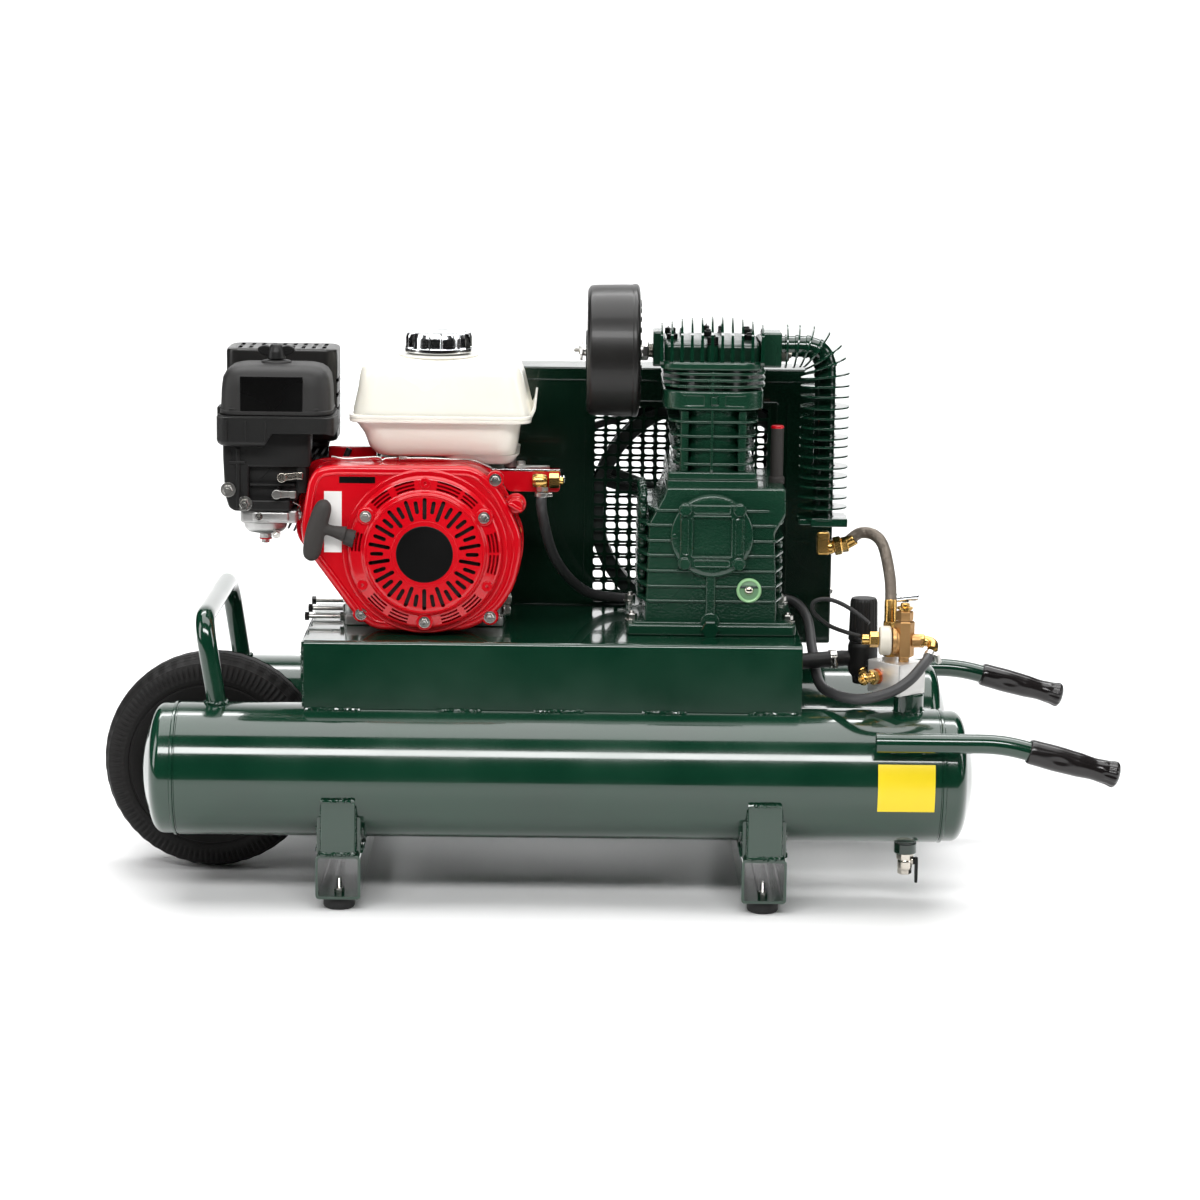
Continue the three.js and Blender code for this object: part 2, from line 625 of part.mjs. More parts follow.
function piston(y, z) {
  const r = CYLINDER.bore - GAP - 0.3;
  return turned([PUMP.x, y, z], [PUMP.x, y, z + 1], [[0, 40], [r, 40], [r, 0], [r - 5, 0], [r - 5, 32], [0, 32]], 24);
}

function pumpHead() {
  const { x } = PUMP;
  const plate = box(x - 62, x + 55, -104, 72, LEVEL.head, LEVEL.plate);
  const fins = Array.from({ length: 11 }, (_, i) => {
    const at = x - 60.5 + i * 11.45;
    return box(at - 1.3, at + 1.3, -100, 68, LEVEL.plate - 1, LEVEL.tips);
  });
  const crown = box(x - 58, x + 52, -94, 62, LEVEL.plate - 1, 636);
  const outlet = box(x + 50, x + 80, -36, 12, LEVEL.head, 643);
  const inlet = box(x - 70, x - 57, -36, 12, LEVEL.head, 643);
  return join([plate, ...fins, crown, outlet, inlet]);
}

function intakeFilter() {
  const { x0, x1, y, z, r } = FILTER;
  const can = turned([x0, y, z], [x0 + 1, y, z], [[0, 0], [r - 6, 0], [r, 6], [r, x1 - x0 - 3], [r - 3, x1 - x0], [0, x1 - x0]], 26);
  const depth = x1 - x0 - 3;
  const inside = turned([x0, y, z], [x0 + 1, y, z], [[0, 3], [r - 9, 3], [r - 4, 9], [r - 4, depth - 3], [r - 6, depth], [0, depth]], 26);
  const neck = rod([x1 - 1, y, z], [PUMP.x - 70 - GAP, y, z], 13, 16);
  const bore = rod([x1 - 6, y, z], [PUMP.x - 60, y, z], 9, 12);
  return cut(can.add(neck), [inside, bore]);
}

function filterWingNut() {
  const { x0, y, z } = FILTER;
  return rod([x0 - 12, y, z], [x0 - GAP, y, z], 5, 12).add(box(x0 - 10, x0 - 6, y - 16, y + 16, z - 3, z + 3));
}

function pumpFlywheel() {
  const { x, z } = PUMP;
  const { r, rim: inner, y0, y1 } = FLYWHEEL;
  const floor = r - BELT.sink - BELT.floor;
  const profile = [
    [inner, y0],
    [r, y0],
    [r, BELT.y0 - BELT.side],
    [floor, BELT.y0 - BELT.side],
    [floor, BELT.y1 + BELT.side],
    [r, BELT.y1 + BELT.side],
    [r, y1],
    [inner, y1],
    [inner, y0],
  ];
  const spokes = Array.from({ length: 5 }, (_, i) => {
    const a = (i / 5) * 2 * Math.PI + 0.3;
    const centre = [x + 80 * Math.cos(a), 120, z + 80 * Math.sin(a)];
    return turnedBox([100, 8, 24], centre, { x: 0.35, y: -a });
  });
  const hub = alongY(x, z, [[0, 101], [36, 101], [36, 140], [0, 140]], 24);
  const bore = alongY(x, z, [[0, 90], [16.5, 90], [16.5, 100], [13.5, 141], [0, 141]], 20);
  return cut(join([alongY(x, z, profile, 36), hub, ...spokes]), [bore]);
}

// Closed loop round two circles, as [x, z] points.
function beltLoop(grow) {
  const small = PULLEY.r - BELT.sink + grow;
  const large = FLYWHEEL.r - BELT.sink + grow;
  const dx = PUMP.x - CRANK.x;
  const dz = PUMP.z - CRANK.z;
  const heading = Math.atan2(dz, dx);
  const spread = Math.acos((small - large) / Math.hypot(dx, dz));
  const arc = (centre, r, from, to, steps) =>
    Array.from({ length: steps + 1 }, (_, i) => {
      const a = from + ((to - from) * i) / steps;
      return [centre.x + r * Math.cos(a), centre.z + r * Math.sin(a)];
    });
  return [
    ...arc(PUMP, large, heading - spread, heading + spread, 28),
    ...arc(CRANK, small, heading + spread, heading + 2 * Math.PI - spread, 14),
  ];
}

function driveBelt() {
  const outer = plateXZ(beltLoop(BELT.thick), BELT.y0, BELT.y1);
  return outer.subtract(plateXZ(beltLoop(0), BELT.y0 - 1, BELT.y1 + 1));
}

function grille(y0, y1) {
  const { x0, x1, z0, z1, pitch, bar } = WINDOW;
  const bars = [];
  for (let x = x0 + pitch; x < x1 - 1; x += pitch) bars.push(box(x - bar / 2, x + bar / 2, y0, y1, z0 - 1, z1 + 1));
  for (let z = z0 + pitch; z < z1 - 1; z += pitch) bars.push(box(x0 - 1, x1 + 1, y0, y1, z - bar / 2, z + bar / 2));
  return join(bars);
}

function beltGuard() {
  const { x0, x1, y0, y1, z0, z1, sheet: t } = GUARD;
  const shell = box(x0, x1, y0, y1, z0, z1).subtract(box(x0 + t, x1 - t, y0 + t, y1 - t, z0 + t, z1 - t));
  const window = box(WINDOW.x0, WINDOW.x1, y0 - 5, y1 + 5, WINDOW.z0, WINDOW.z1);
  const meshes = [grille(y0, y0 + t), grille(y1 - t, y1)];
  const shafts = [
    rod([CRANK.x, y0 - 5, CRANK.z], [CRANK.x, y0 + 5, CRANK.z], 18, 20),
    rod([PUMP.x, y0 - 5, PUMP.z], [PUMP.x, y0 + 5, PUMP.z], 24, 20),
  ];
  return cut(join([shell.subtract(window), ...meshes]), shafts);
}

function aftercooler() {
  const { x, y, z, foot, r, fin, pitch } = AFTERCOOLER;
  const route = bentPath([[PUMP.x + 80 + GAP, y, z], [x, y, z], [x, y, foot]], 26);
  const pipe = sweep(route, r, 12, { sides: 5 });
  const fins = [];
  for (let h = foot + 14; h < z - 40; h += pitch) fins.push(rod([x, y, h], [x, y, h + 2], fin, 12));
  const block = box(x - 29, x + 27, y - 27, y + 27, foot - 11, foot + 0.5);
  return join([pipe, ...fins, block]);
}

function dischargeHose() {
  const { x, y, foot } = AFTERCOOLER;
  const elbow = join([
    rod([x + 2, y - 12, foot - 38], [x + 2, y - 12, foot - 11 - GAP], 11, 6),
    rod([x, y - 12, foot - 30], [x + 25, y - 12, foot - 25], 10, 6),
  ]);
  const route = smooth([
    [x + 20, y - 12, foot - 26],
    [x + 46, y - 18, foot - 8],
    [x + 66, y - 44, foot - 16],
    [x + 74, y - 76, foot - 52],
    [x + 74, y - 98, foot - 90],
    [x + 74, y - 104, foot - 108],
  ]);
  const ferrule = rod([x + 74, y - 104, MANIFOLD.z1 + GAP], [x + 74, y - 104, foot - 98], 8, 6);
  return join([elbow, sweep(route, 7, 16, { sides: 4 }), ferrule]);
}

// ---------------------------------------------------------------- air circuit on the front tank
function manifoldBlock() {
  const { x, y, z0, z1, length, depth, turn } = MANIFOLD;
  const block = turnedBox([length, depth, z1 - z0], [x, y, (z0 + z1) / 2], { z: turn });
  const riser = rod([352, -TANK.y, TANK.z + TANK.r - 3], [352, -TANK.y, z0 + 1], 17, 16);
  const out = [Math.sin(turn), -Math.cos(turn)]; // square to the face that looks forward and left
  const start = [x - 6 + out[0] * (depth / 2 - 1), y + 7 + out[1] * (depth / 2 - 1), 264];
  const fitting = rod(start, [start[0] + out[0] * 25, start[1] + out[1] * 25, 263], 7.5, 6);
  return cut(join([block, riser, fitting]), [tankCutter(-1)]);
}

function regulatorBody() {
  const { x, y } = REGULATOR;
  const body = rod([x, y, 238], [x, y, 288], 17, 20);
  const nipple = rod([x + 6, y - 10, 262], [x + 12, -110, 262], 7, 10);
  const inlet = rod([x - 30, y, 268], [x - 10, y, 268], 7, 6);
  const { length, depth, turn, z0, z1 } = MANIFOLD;
  const room = turnedBox([length + 0.6, depth + 0.6, z1 - z0 + 0.6], [MANIFOLD.x, MANIFOLD.y, (z0 + z1) / 2], { z: turn });
  return cut(join([body, nipple, inlet]), [room]);
}

function regulatorKnob() {
  const { x, y } = REGULATOR;
  return turned([x, y, 0], [x, y, 1], [[0, 288.3], [17, 288.3], [16, 336], [13, 339], [0, 339]], 20);
}

function pilotValve() {
  const { x, y, z } = PILOT;
  const stem = rod([x, y, MANIFOLD.z1 + GAP], [x, y, MANIFOLD.z1 + 8], 6, 10);
  const body = rod([x, y, MANIFOLD.z1 + 7], [x, y, 328], 10.5, 6);
  const collar = rod([x, y, 327], [x, y, 340], 8, 6);
  const cupOutline = [[0, 0], [7, 0], [7, 18], [17, 20], [17, 40], [10, 42], [0, 42]];
  const cup = turned([x - 50, y, z], [x - 8, y, z], cupOutline, 20);
  const outlet = rod([x + 8, y, z - 4], [x + 34, y, z - 8], 7, 6);
  return join([stem, body, collar, cup, outlet]);
}

function toggleLever() {
  const { x, y } = PILOT;
  const stem = rod([x, y, 341.2], [x, y, 353], 4, 10);
  return stem.add(turnedBox([23, 6, 6], [x + 1.5, y, 353], { y: 0.1 }));
}

function supplyHose() {
  const route = smooth([[140, -96, 214], [143, -94, 238], [172, -84, 260], [229, -68, 264], [REGULATOR.x - 30 - GAP, REGULATOR.y, 268]]);
  return cut(sweep(route, 9.5, 14, { sides: 4 }), [tankCutter(-1), box(REGULATOR.x - 30.4, 400, -100, 0, 200, 300)]);
}

function unloaderHose() {
  const route = smooth([
    [HOSE_END.x, HOSE_END.y, HOSE_END.z],
    [HOSE_END.x, HOSE_END.y, HOSE_END.z - 20],
    [-54, -14, 374],
    [-20, 50, 326],
    [24, 84.5, 311],
    [110, 85.5, 308],
    [200, 86, 310],
    [232, 85, 309],
    [248, 58, 294],
    [251, 0, 268],
    [254, -78, 243],
    [266, -140, 241],
    [292, -186, 244],
    [324, -198, 254],
    [347, -196, 268],
    [364, -183, 284],
    [376, -159.5, 294],
  ]);
  return sweep(route, 6, 46, { sides: 4 });
}

function drainValve() {
  const { x, z } = DRAIN;
  const coupling = rod([x, -TANK.y, z - 14], [x, -TANK.y, z + 6], 13, 16);
  const body = box(x - 8, x + 8, -TANK.y - 8, -TANK.y + 8, z - 39, z - 13);
  return cut(coupling.add(body), [tankCutter(-1)]);
}

function drainLever() {
  const { x, z } = DRAIN;
  const pin = rod([x + 8 + GAP, -TANK.y, z - 24], [x + 15, -TANK.y, z - 24], 4, 10);
  return pin.add(box(x + 12, x + 15, -TANK.y - 5, -TANK.y + 5, z - 50, z - 20));
}

// ---------------------------------------------------------------- assembly
const ends = [["front", -1], ["rear", 1]];
for (const [name, side] of ends) {
  add(`${name}_tank`, airTank(side), green());
  add(`${name}_handle_tube`, handleTube(side), green());
  add(`${name}_grip`, grip(side), black());
}
for (const [end, x] of Object.entries(BEAM.xs)) {
  add(`${end}_foot_beam`, footBeam(x), green());
  for (const [name, side] of ends) add(`${end}_${name}_rubber_foot`, rubberFoot(x, side * FOOT.y), rubber());
}
add("engine_deck", deck(), green());
add("lifting_loop", liftingLoop(), green());
add("wheel_axle", axle(), steel());
add("wheel_tyre", tyre(), rubber());
add("wheel_rim", rim(), black());

add("engine_block", engineBlock(), alloy());
add("blower_housing", blowerHousing(), red());
add("recoil_cover", recoilCover(), red());
add("recoil_handle", recoilHandle(), black());
add("engine_fan", fan(), alloy());
add("engine_crankshaft", engineCrankshaft(), steel());
add("drive_pulley", drivePulley(), finish(0x4a4a4a, 0.5, 0.8));
add("fuel_tank", fuelTank(), cream());
add("fuel_cap", fuelCap(), chrome());
add("air_cleaner_base", airCleanerBase(), black());
add("air_cleaner_cover", airCleanerCover(), black());
add("air_cleaner_knob", airCleanerKnob(), black());
add("carburettor", carburettor(), alloy());
add("choke_lever", smallLever(CHOKE.x, CHOKE.z, CHOKE.y0, CHOKE.y1, 24, 0.1), alloy());
add("fuel_valve_lever", smallLever(FUEL_VALVE.x, FUEL_VALVE.z, FUEL_VALVE.y0, FUEL_VALVE.y1, 22, 0), black());
add("muffler", muffler(), finish(0x2b2b2b, 0.7, 0.5));
add("control_bracket", controlBracket(), red());
add("throttle_lever", throttleLever(), steel());
add("governor_arm", governorArm(), steel());
add("stop_switch_knob", stopSwitch(), red());

add("pump_crankcase", pumpCrankcase(), green());
add("pump_bearing_cover", bearingCover(), green());
add("pump_crankshaft", pumpCrankshaft(), steel());
add("pump_cylinder_block", pumpCylinders(), green());
add("pump_front_piston", piston(CYLINDER.y[0], 535), alloy());
add("pump_rear_piston", piston(CYLINDER.y[1], 500), alloy());
add("pump_head", pumpHead(), green());
add("intake_filter", intakeFilter(), black());
add("intake_wing_nut", filterWingNut(), steel());
add("pump_flywheel", pumpFlywheel(), finish(0x151816, 0.4, 0.3));
add("drive_belt", driveBelt(), rubber());
add("belt_guard", beltGuard(), green());
add("aftercooler", aftercooler(), green());

add("discharge_hose", dischargeHose(), steel());
add("manifold_block", manifoldBlock(), alloy());
add("regulator_body", regulatorBody(), black());
add("regulator_knob", regulatorKnob(), black());
add("pilot_valve", pilotValve(), brass());
add("toggle_lever", toggleLever(), chrome());
add("supply_hose", supplyHose(), rubber());
add("unloader_hose", unloaderHose(), rubber());
add("drain_valve", drainValve(), chrome());
add("drain_lever", drainLever(), black());

export default compressor;
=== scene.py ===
"""Wheelbarrow air compressor: the visible surfaces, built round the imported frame.

Geometry is made in millimetres in the frame's axes (+X to the handles, -Y the recoil starter's side,
+Z up) and turned into metres when a piece is made. A shape is a pair (points, faces).
"""

import json
import math
import random

import bmesh
import bpy
from mathutils import Matrix, Vector

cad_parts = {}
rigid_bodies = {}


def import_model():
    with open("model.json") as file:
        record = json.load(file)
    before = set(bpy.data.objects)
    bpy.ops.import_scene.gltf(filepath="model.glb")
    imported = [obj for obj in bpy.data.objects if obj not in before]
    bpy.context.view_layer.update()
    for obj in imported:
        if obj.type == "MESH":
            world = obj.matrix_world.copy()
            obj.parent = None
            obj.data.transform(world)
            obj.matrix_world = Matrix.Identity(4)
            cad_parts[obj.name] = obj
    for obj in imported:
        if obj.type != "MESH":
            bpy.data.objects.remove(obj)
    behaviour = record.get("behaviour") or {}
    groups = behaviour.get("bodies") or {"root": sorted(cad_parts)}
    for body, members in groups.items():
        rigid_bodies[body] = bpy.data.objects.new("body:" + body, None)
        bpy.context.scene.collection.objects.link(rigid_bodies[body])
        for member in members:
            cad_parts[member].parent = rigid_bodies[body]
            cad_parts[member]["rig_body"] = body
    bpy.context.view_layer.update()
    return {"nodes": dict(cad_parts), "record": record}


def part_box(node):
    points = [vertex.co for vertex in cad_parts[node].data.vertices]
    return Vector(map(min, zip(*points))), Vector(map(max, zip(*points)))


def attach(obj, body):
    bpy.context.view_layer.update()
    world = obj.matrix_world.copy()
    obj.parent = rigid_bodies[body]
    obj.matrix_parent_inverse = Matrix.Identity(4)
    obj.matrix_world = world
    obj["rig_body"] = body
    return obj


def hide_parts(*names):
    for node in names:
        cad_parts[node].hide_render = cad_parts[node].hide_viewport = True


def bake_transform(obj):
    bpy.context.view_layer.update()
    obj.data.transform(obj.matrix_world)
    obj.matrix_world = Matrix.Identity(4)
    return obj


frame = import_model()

MM = 0.001
RNG = random.Random(7)


class Span:
    """A node's box in millimetres."""

    def __init__(self, node):
        lo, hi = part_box(node)
        self.x0, self.y0, self.z0 = (v / MM for v in lo)
        self.x1, self.y1, self.z1 = (v / MM for v in hi)
        self.x, self.y, self.z = (
            (a + b) / 2
            for a, b in ((self.x0, self.x1), (self.y0, self.y1), (self.z0, self.z1))
        )


def joint_point(name):
    """Where a joint sits in the frame, in millimetres."""
    joint = next(j for j in frame["record"]["behaviour"]["joints"] if j["name"] == name)
    return [v / MM for v in joint["pos_m"]]


# ------------------------------------------------------------------ driving dimensions, mm
TANK_R = 76.2
TANK_Y = 145.0
TANK_Z = 147.6
SEAM = 39.0  # from a tank's end to the seam of its head
TANK_BOX = Span("front_tank")
BAR_R = 11.1  # tube of the handles and the lifting loop
HANDLE_Y = 227  # from the middle to a handle's axis
CRANK_X, _, CRANK_Z = joint_point("engine_spin")
PUMP_X, _, PUMP_Z = joint_point("pump_spin")
WHEEL_X, _, WHEEL_Z = joint_point("wheel_spin")
DECK = Span("engine_deck")
GUARD = Span("belt_guard")
SIDES = (("front", -1), ("rear", 1))


# ------------------------------------------------------------------ curves and outlines
def arc(cx, cy, r, start, end, steps):
    """Points along an arc, both ends included."""
    return [
        (cx + r * math.cos(start + (end - start) * i / steps), cy + r * math.sin(start + (end - start) * i / steps))
        for i in range(steps + 1)
    ]


def fillet(points, reach, steps=4, closed=False):
    """Corners rounded by a curve that starts and ends `reach` away from each corner."""
    pts = [Vector(p) for p in points]
    count = len(pts)
    out = []
    for i, p in enumerate(pts):
        if not closed and i in (0, count - 1):
            out.append(tuple(p))
            continue
        a = pts[i - 1] - p
        b = pts[(i + 1) % count] - p
        d = min(reach, a.length * 0.49, b.length * 0.49)
        p0 = p + a.normalized() * d
        p1 = p + b.normalized() * d
        for k in range(steps + 1):
            t = k / steps
            out.append(tuple(p0 * (1 - t) ** 2 + p * 2 * t * (1 - t) + p1 * t * t))
    return out


def rectangle(x0, x1, y0, y1, r=0.0, steps=4):
    corners = [(x0, y0), (x1, y0), (x1, y1), (x0, y1)]
    return fillet(corners, r, steps, closed=True) if r else corners


def flowing(points, per_span=6):
    """Smooth curve through the points (Catmull-Rom)."""
    p = [Vector(q) for q in points]
    p = [2 * p[0] - p[1], *p, 2 * p[-1] - p[-2]]
    out = []
    for i in range(1, len(p) - 2):
        for k in range(per_span):
            t = k / per_span
            out.append(
                0.5
                * (
                    2 * p[i]
                    + (p[i + 1] - p[i - 1]) * t
                    + (2 * p[i - 1] - 5 * p[i] + 4 * p[i + 1] - p[i + 2]) * t * t
                    + (3 * p[i] - p[i - 1] - 3 * p[i + 1] + p[i + 2]) * t**3
                )
            )
    return out + [p[-2]]


def resample(path, step):
    """Points a fixed distance apart along a polyline."""
    pts = [Vector(p) for p in path]
    total = sum((b - a).length for a, b in zip(pts, pts[1:]))
    count = max(2, round(total / step))
    out = [pts[0]]
    want = total / count
    travelled = 0.0
    for a, b in zip(pts, pts[1:]):
        length = (b - a).length
        while len(out) < count and travelled + length >= want * len(out) - 1e-9:
            out.append(a.lerp(b, (want * len(out) - travelled) / length))
        travelled += length
    return out + [pts[-1]] if len(out) <= count else out


# ------------------------------------------------------------------ shapes
def turn(shape, angle, axis="Z", about=(0, 0, 0)):
    m = Matrix.Translation(about) @ Matrix.Rotation(angle, 4, axis) @ Matrix.Translation([-v for v in about])
    return [tuple(m @ Vector(p)) for p in shape[0]], shape[1]


def merged(shapes):
    """Several shapes as one."""
    points = []
    faces = []
    for p, f in shapes:
        base = len(points)
        points += p
        faces += [[base + i for i in face] for face in f]
    return points, faces


def loft(rings, caps=True, loop=False):
    """Skin over rings of equal length; each ring closes on itself."""
    n = len(rings[0])
    points = [tuple(p) for ring in rings for p in ring]
    faces = []
    spans = len(rings) if loop else len(rings) - 1
    for i in range(spans):
        a = i * n
        b = (i + 1) % len(rings) * n
        for k in range(n):
            faces.append([a + k, a + (k + 1) % n, b + (k + 1) % n, b + k])
    if caps and not loop:
        faces.append(list(range(n))[::-1])
        faces.append([(len(rings) - 1) * n + k for k in range(n)])
    return points, faces


def lathe(profile, start, direction, n=48, lobe=None):
    """Solid of revolution: (radius, height) pairs from `start` along `direction`. `lobe` changes a radius."""
    q = Vector((0, 0, 1)).rotation_difference(Vector(direction).normalized())
    loop = profile[0] == profile[-1] and profile[0][0] > 0
    rows = profile[:-1] if loop else profile
    points = []
    rings = []
    for r, h in rows:
        if r < 1e-6:
            rings.append([len(points)])
            points.append((0, 0, h))
            continue
        rings.append(list(range(len(points), len(points) + n)))
        for k in range(n):
            a = 2 * math.pi * k / n
            rr = lobe(a, r, h) if lobe else r
            points.append((rr * math.cos(a), rr * math.sin(a), h))
    faces = []
    pairs = list(zip(rings, rings[1:])) + ([(rings[-1], rings[0])] if loop else [])
    for a, b in pairs:
        if len(a) == 1 and len(b) == 1:
            continue
        for k in range(n):
            j = (k + 1) % n
            quad = [a[k % len(a)], a[j % len(a)], b[j % len(b)], b[k % len(b)]]
            faces.append(list(dict.fromkeys(quad)))
    if not loop:
        for ring in (rings[0], rings[-1]):
            if len(ring) > 1:
                faces.append(ring)
    at = Vector(start)
    return [tuple(at + q @ Vector(p)) for p in points], faces


def outset(outline, d):
    """A closed outline moved outwards by d (inwards if negative), corner by corner."""
    area = sum(a[0] * b[1] - b[0] * a[1] for a, b in zip(outline, outline[1:] + outline[:1]))
    sign = 1 if area > 0 else -1
    out = []
    for i, p in enumerate(outline):
        a = Vector(p) - Vector(outline[i - 1])
        b = Vector(outline[(i + 1) % len(outline)]) - Vector(p)
        na = Vector((a.y, -a.x)).normalized()
        nb = Vector((b.y, -b.x)).normalized()
        m = na + nb
        m = m.normalized() / max(0.45, m.normalized().dot(nb)) if m.length > 1e-6 else nb
        out.append(tuple(Vector(p) + m * d * sign))
    return out


PLANES = {
    "xy": lambda u, v, h: (u, v, h),
    "xz": lambda u, v, h: (u, h, v),
    "yz": lambda u, v, h: (h, u, v),
}


def slab(outline, plane, low, high, edge=0.8, steps=2):
    """An outline given thickness along the third axis, with rounded rims at both faces."""
    put = PLANES[plane]
    edge = min(edge, (high - low) * 0.49)
    layers = []
    for k in range(steps + 1):
        a = k / steps * math.pi / 2
        layers.append((edge * (1 - math.sin(a)), low + edge * (1 - math.cos(a))))
    layers += [(inset, low + high - h) for inset, h in reversed(layers)]
    if edge <= 0:
        layers = [(0, low), (0, high)]
    return loft([[put(u, v, h) for u, v in outset(outline, -inset)] for inset, h in layers])


def block(x0, x1, y0, y1, z0, z1, r=1.0, edge=None, steps=3):
    """Box with rounded edges all round."""
    limit = min(x1 - x0, y1 - y0) * 0.45
    outline = rectangle(x0, x1, y0, y1, min(r * 1.4, limit), steps)
    return slab(outline, "xy", z0, z1, r if edge is None else edge, steps=2)


def tube(path, r, n=16, closed=False):
    """Round bar along a path. The radius is a number or a function of the share of the way along."""
    pts = [Vector(p) for p in path]
    count = len(pts)
    normal = None
    rings = []
    for i, p in enumerate(pts):
        ahead = pts[(i + 1) % count] if closed or i < count - 1 else p
        behind = pts[i - 1] if closed or i > 0 else p
        t = (ahead - behind).normalized()
        if normal is None:
            normal = t.orthogonal().normalized()
        normal = (normal - t * normal.dot(t)).normalized()
        side = t.cross(normal)
        radius = r(i / max(1, count - 1)) if callable(r) else r
        rings.append(
            [
                p + (normal * math.cos(a) + side * math.sin(a)) * radius
                for a in (2 * math.pi * k / n for k in range(n))
            ]
        )
    return loft(rings, caps=not closed, loop=closed)


def pipe(path, r, wall, n=20):
    """Open-ended tube with a wall."""
    outer = tube(path, r, n)
    inner = tube(path, r - wall, n)
    count = len(outer[0])
    faces = outer[1][:-2] + [[count + i for i in f[::-1]] for f in inner[1][:-2]]
    for start in (0, count - n):
        for k in range(n):
            j = (k + 1) % n
            faces.append([start + k, start + j, count + start + j, count + start + k])
    return outer[0] + inner[0], faces


def weld(path, r=2.6, pitch=3.4, closed=False):
    """Lumpy weld bead along a path."""
    pts = resample(path, pitch / 3)
    sizes = [r * (0.78 + 0.2 * math.cos(2 * math.pi * i / 3) + RNG.uniform(-0.08, 0.1)) for i in range(len(pts))]
    last = len(pts) - 1
    drift = [p + Vector((RNG.uniform(-0.2, 0.2), RNG.uniform(-0.2, 0.2), RNG.uniform(-0.2, 0.2))) * r for p in pts]
    if closed:
        drift, sizes = drift[:-1], sizes[:-1]
        last -= 1
    return tube(drift, lambda t: sizes[min(last, round(t * last))], 8, closed)


def ring_path(centre, axis, r, steps=40, start=0.0, end=2 * math.pi):
    """Points on a circle round an axis."""
    q = Vector((0, 0, 1)).rotation_difference(Vector(axis).normalized())
    spots = (start + (end - start) * k / steps for k in range(steps + 1))
    return [Vector(centre) + q @ Vector((r * math.cos(a), r * math.sin(a), 0)) for a in spots]


def hexagon(at, direction, across, height, bore=0.0):
    """Nut or bolt head with chamfered corners; `at` is the middle of its underside."""
    r = across / math.sqrt(3)
    profile = [
        (0, 0), (r * 0.93, 0), (r, across * 0.05), (r, height - across * 0.07), (r * 0.88, height), (0, height)
    ]
    if bore:
        profile = [(bore, 0), *profile[1:-1], (bore, height), (bore, 0)]
    return lathe(profile, at, direction, 6)


def bolt(at, direction, across=8.0, height=5.0, washer=None, stud=0.0):
    """Hex bolt head on a washer, with an optional end of thread standing out of it."""
    d = Vector(direction).normalized()
    base = Vector(at)
    washer = across * 0.95 if washer is None else washer
    thick = across * 0.14
    flange = fillet([(0, 0), (washer, 0), (washer, thick), (0, thick)], thick * 0.3, 2)
    parts = [lathe(flange, base, d, 24), hexagon(base + d * thick, d, across, height)]
    dimple = [(0, -0.2), (across * 0.3, -0.2), (across * 0.27, across * 0.06), (0, across * 0.03)]
    parts.append(lathe(dimple, base + d * (thick + height), d, 18))
    if stud:
        parts.append(thread(base + d * (thick + height - 0.3), d, across * 0.3, stud))
    return merged(parts)


def thread(at, direction, r, length, pitch=1.25):
    """Stub of thread, as rings without a lead."""
    turns = max(2, int(length / pitch))
    profile = [(0, 0)]
    for i in range(turns):
        profile += [(r * 0.86, i * pitch), (r, (i + 0.5) * pitch)]
    profile += [(r * 0.86, turns * pitch), (r * 0.7, length + 0.2), (0, length + 0.2)]
    return lathe(profile, at, direction, 16)


def ring_section(bore, r, height, soft=0.8):
    """Section of a ring for `lathe`, with soft corners."""
    return fillet([(bore, 0), (r, 0), (r, height), (bore, height)], soft, 2, True) + [(bore, 0)]


def revolve(points, start, direction, n=48, soft=1.0, lobe=None):
    """A lathe whose profile corners are rounded."""
    return lathe(fillet(points, soft, 3), start, direction, n, lobe)


# ------------------------------------------------------------------ mesh objects
def mesh_of(shape, name):
    """A clean mesh in metres from a shape in millimetres."""
    mesh = bpy.data.meshes.new(name)
    bm = bmesh.new()
    verts = [bm.verts.new([c * MM for c in p]) for p in shape[0]]
    for face in shape[1]:
        try:
            bm.faces.new([verts[i] for i in face])
        except ValueError:
            continue
    bmesh.ops.remove_doubles(bm, verts=bm.verts, dist=1e-6)
    bmesh.ops.dissolve_degenerate(bm, edges=bm.edges, dist=1e-6)
    bmesh.ops.recalc_face_normals(bm, faces=bm.faces)
    bm.to_mesh(mesh)
    bm.free()
    return mesh


def modified_shape(obj):
    """The object's mesh after its modifiers, as a shape."""
    graph = bpy.context.evaluated_depsgraph_get()
    result = obj.evaluated_get(graph).to_mesh()
    shape = [tuple(c / MM for c in v.co) for v in result.vertices], [list(p.vertices) for p in result.polygons]
    obj.evaluated_get(graph).to_mesh_clear()
    return shape


def scrap(*objects):
    """Removes helper objects and their meshes."""
    for obj in objects:
        mesh = obj.data
        bpy.data.objects.remove(obj)
        bpy.data.meshes.remove(mesh)


def carve(body, tools, keep="DIFFERENCE"):
    """The body with the tools cut away, as a shape."""
    target = bpy.data.objects.new("carve_body", mesh_of(body, "carve_body"))
    cutter = bpy.data.objects.new("carve_tool", mesh_of(merged(tools), "carve_tool"))
    for o in (target, cutter):
        bpy.context.scene.collection.objects.link(o)
    step = target.modifiers.new("cut", "BOOLEAN")
    step.operation = keep
    step.solver = "MANIFOLD"
    step.object = cutter
    shape = modified_shape(target)
    scrap(target, cutter)
    return shape


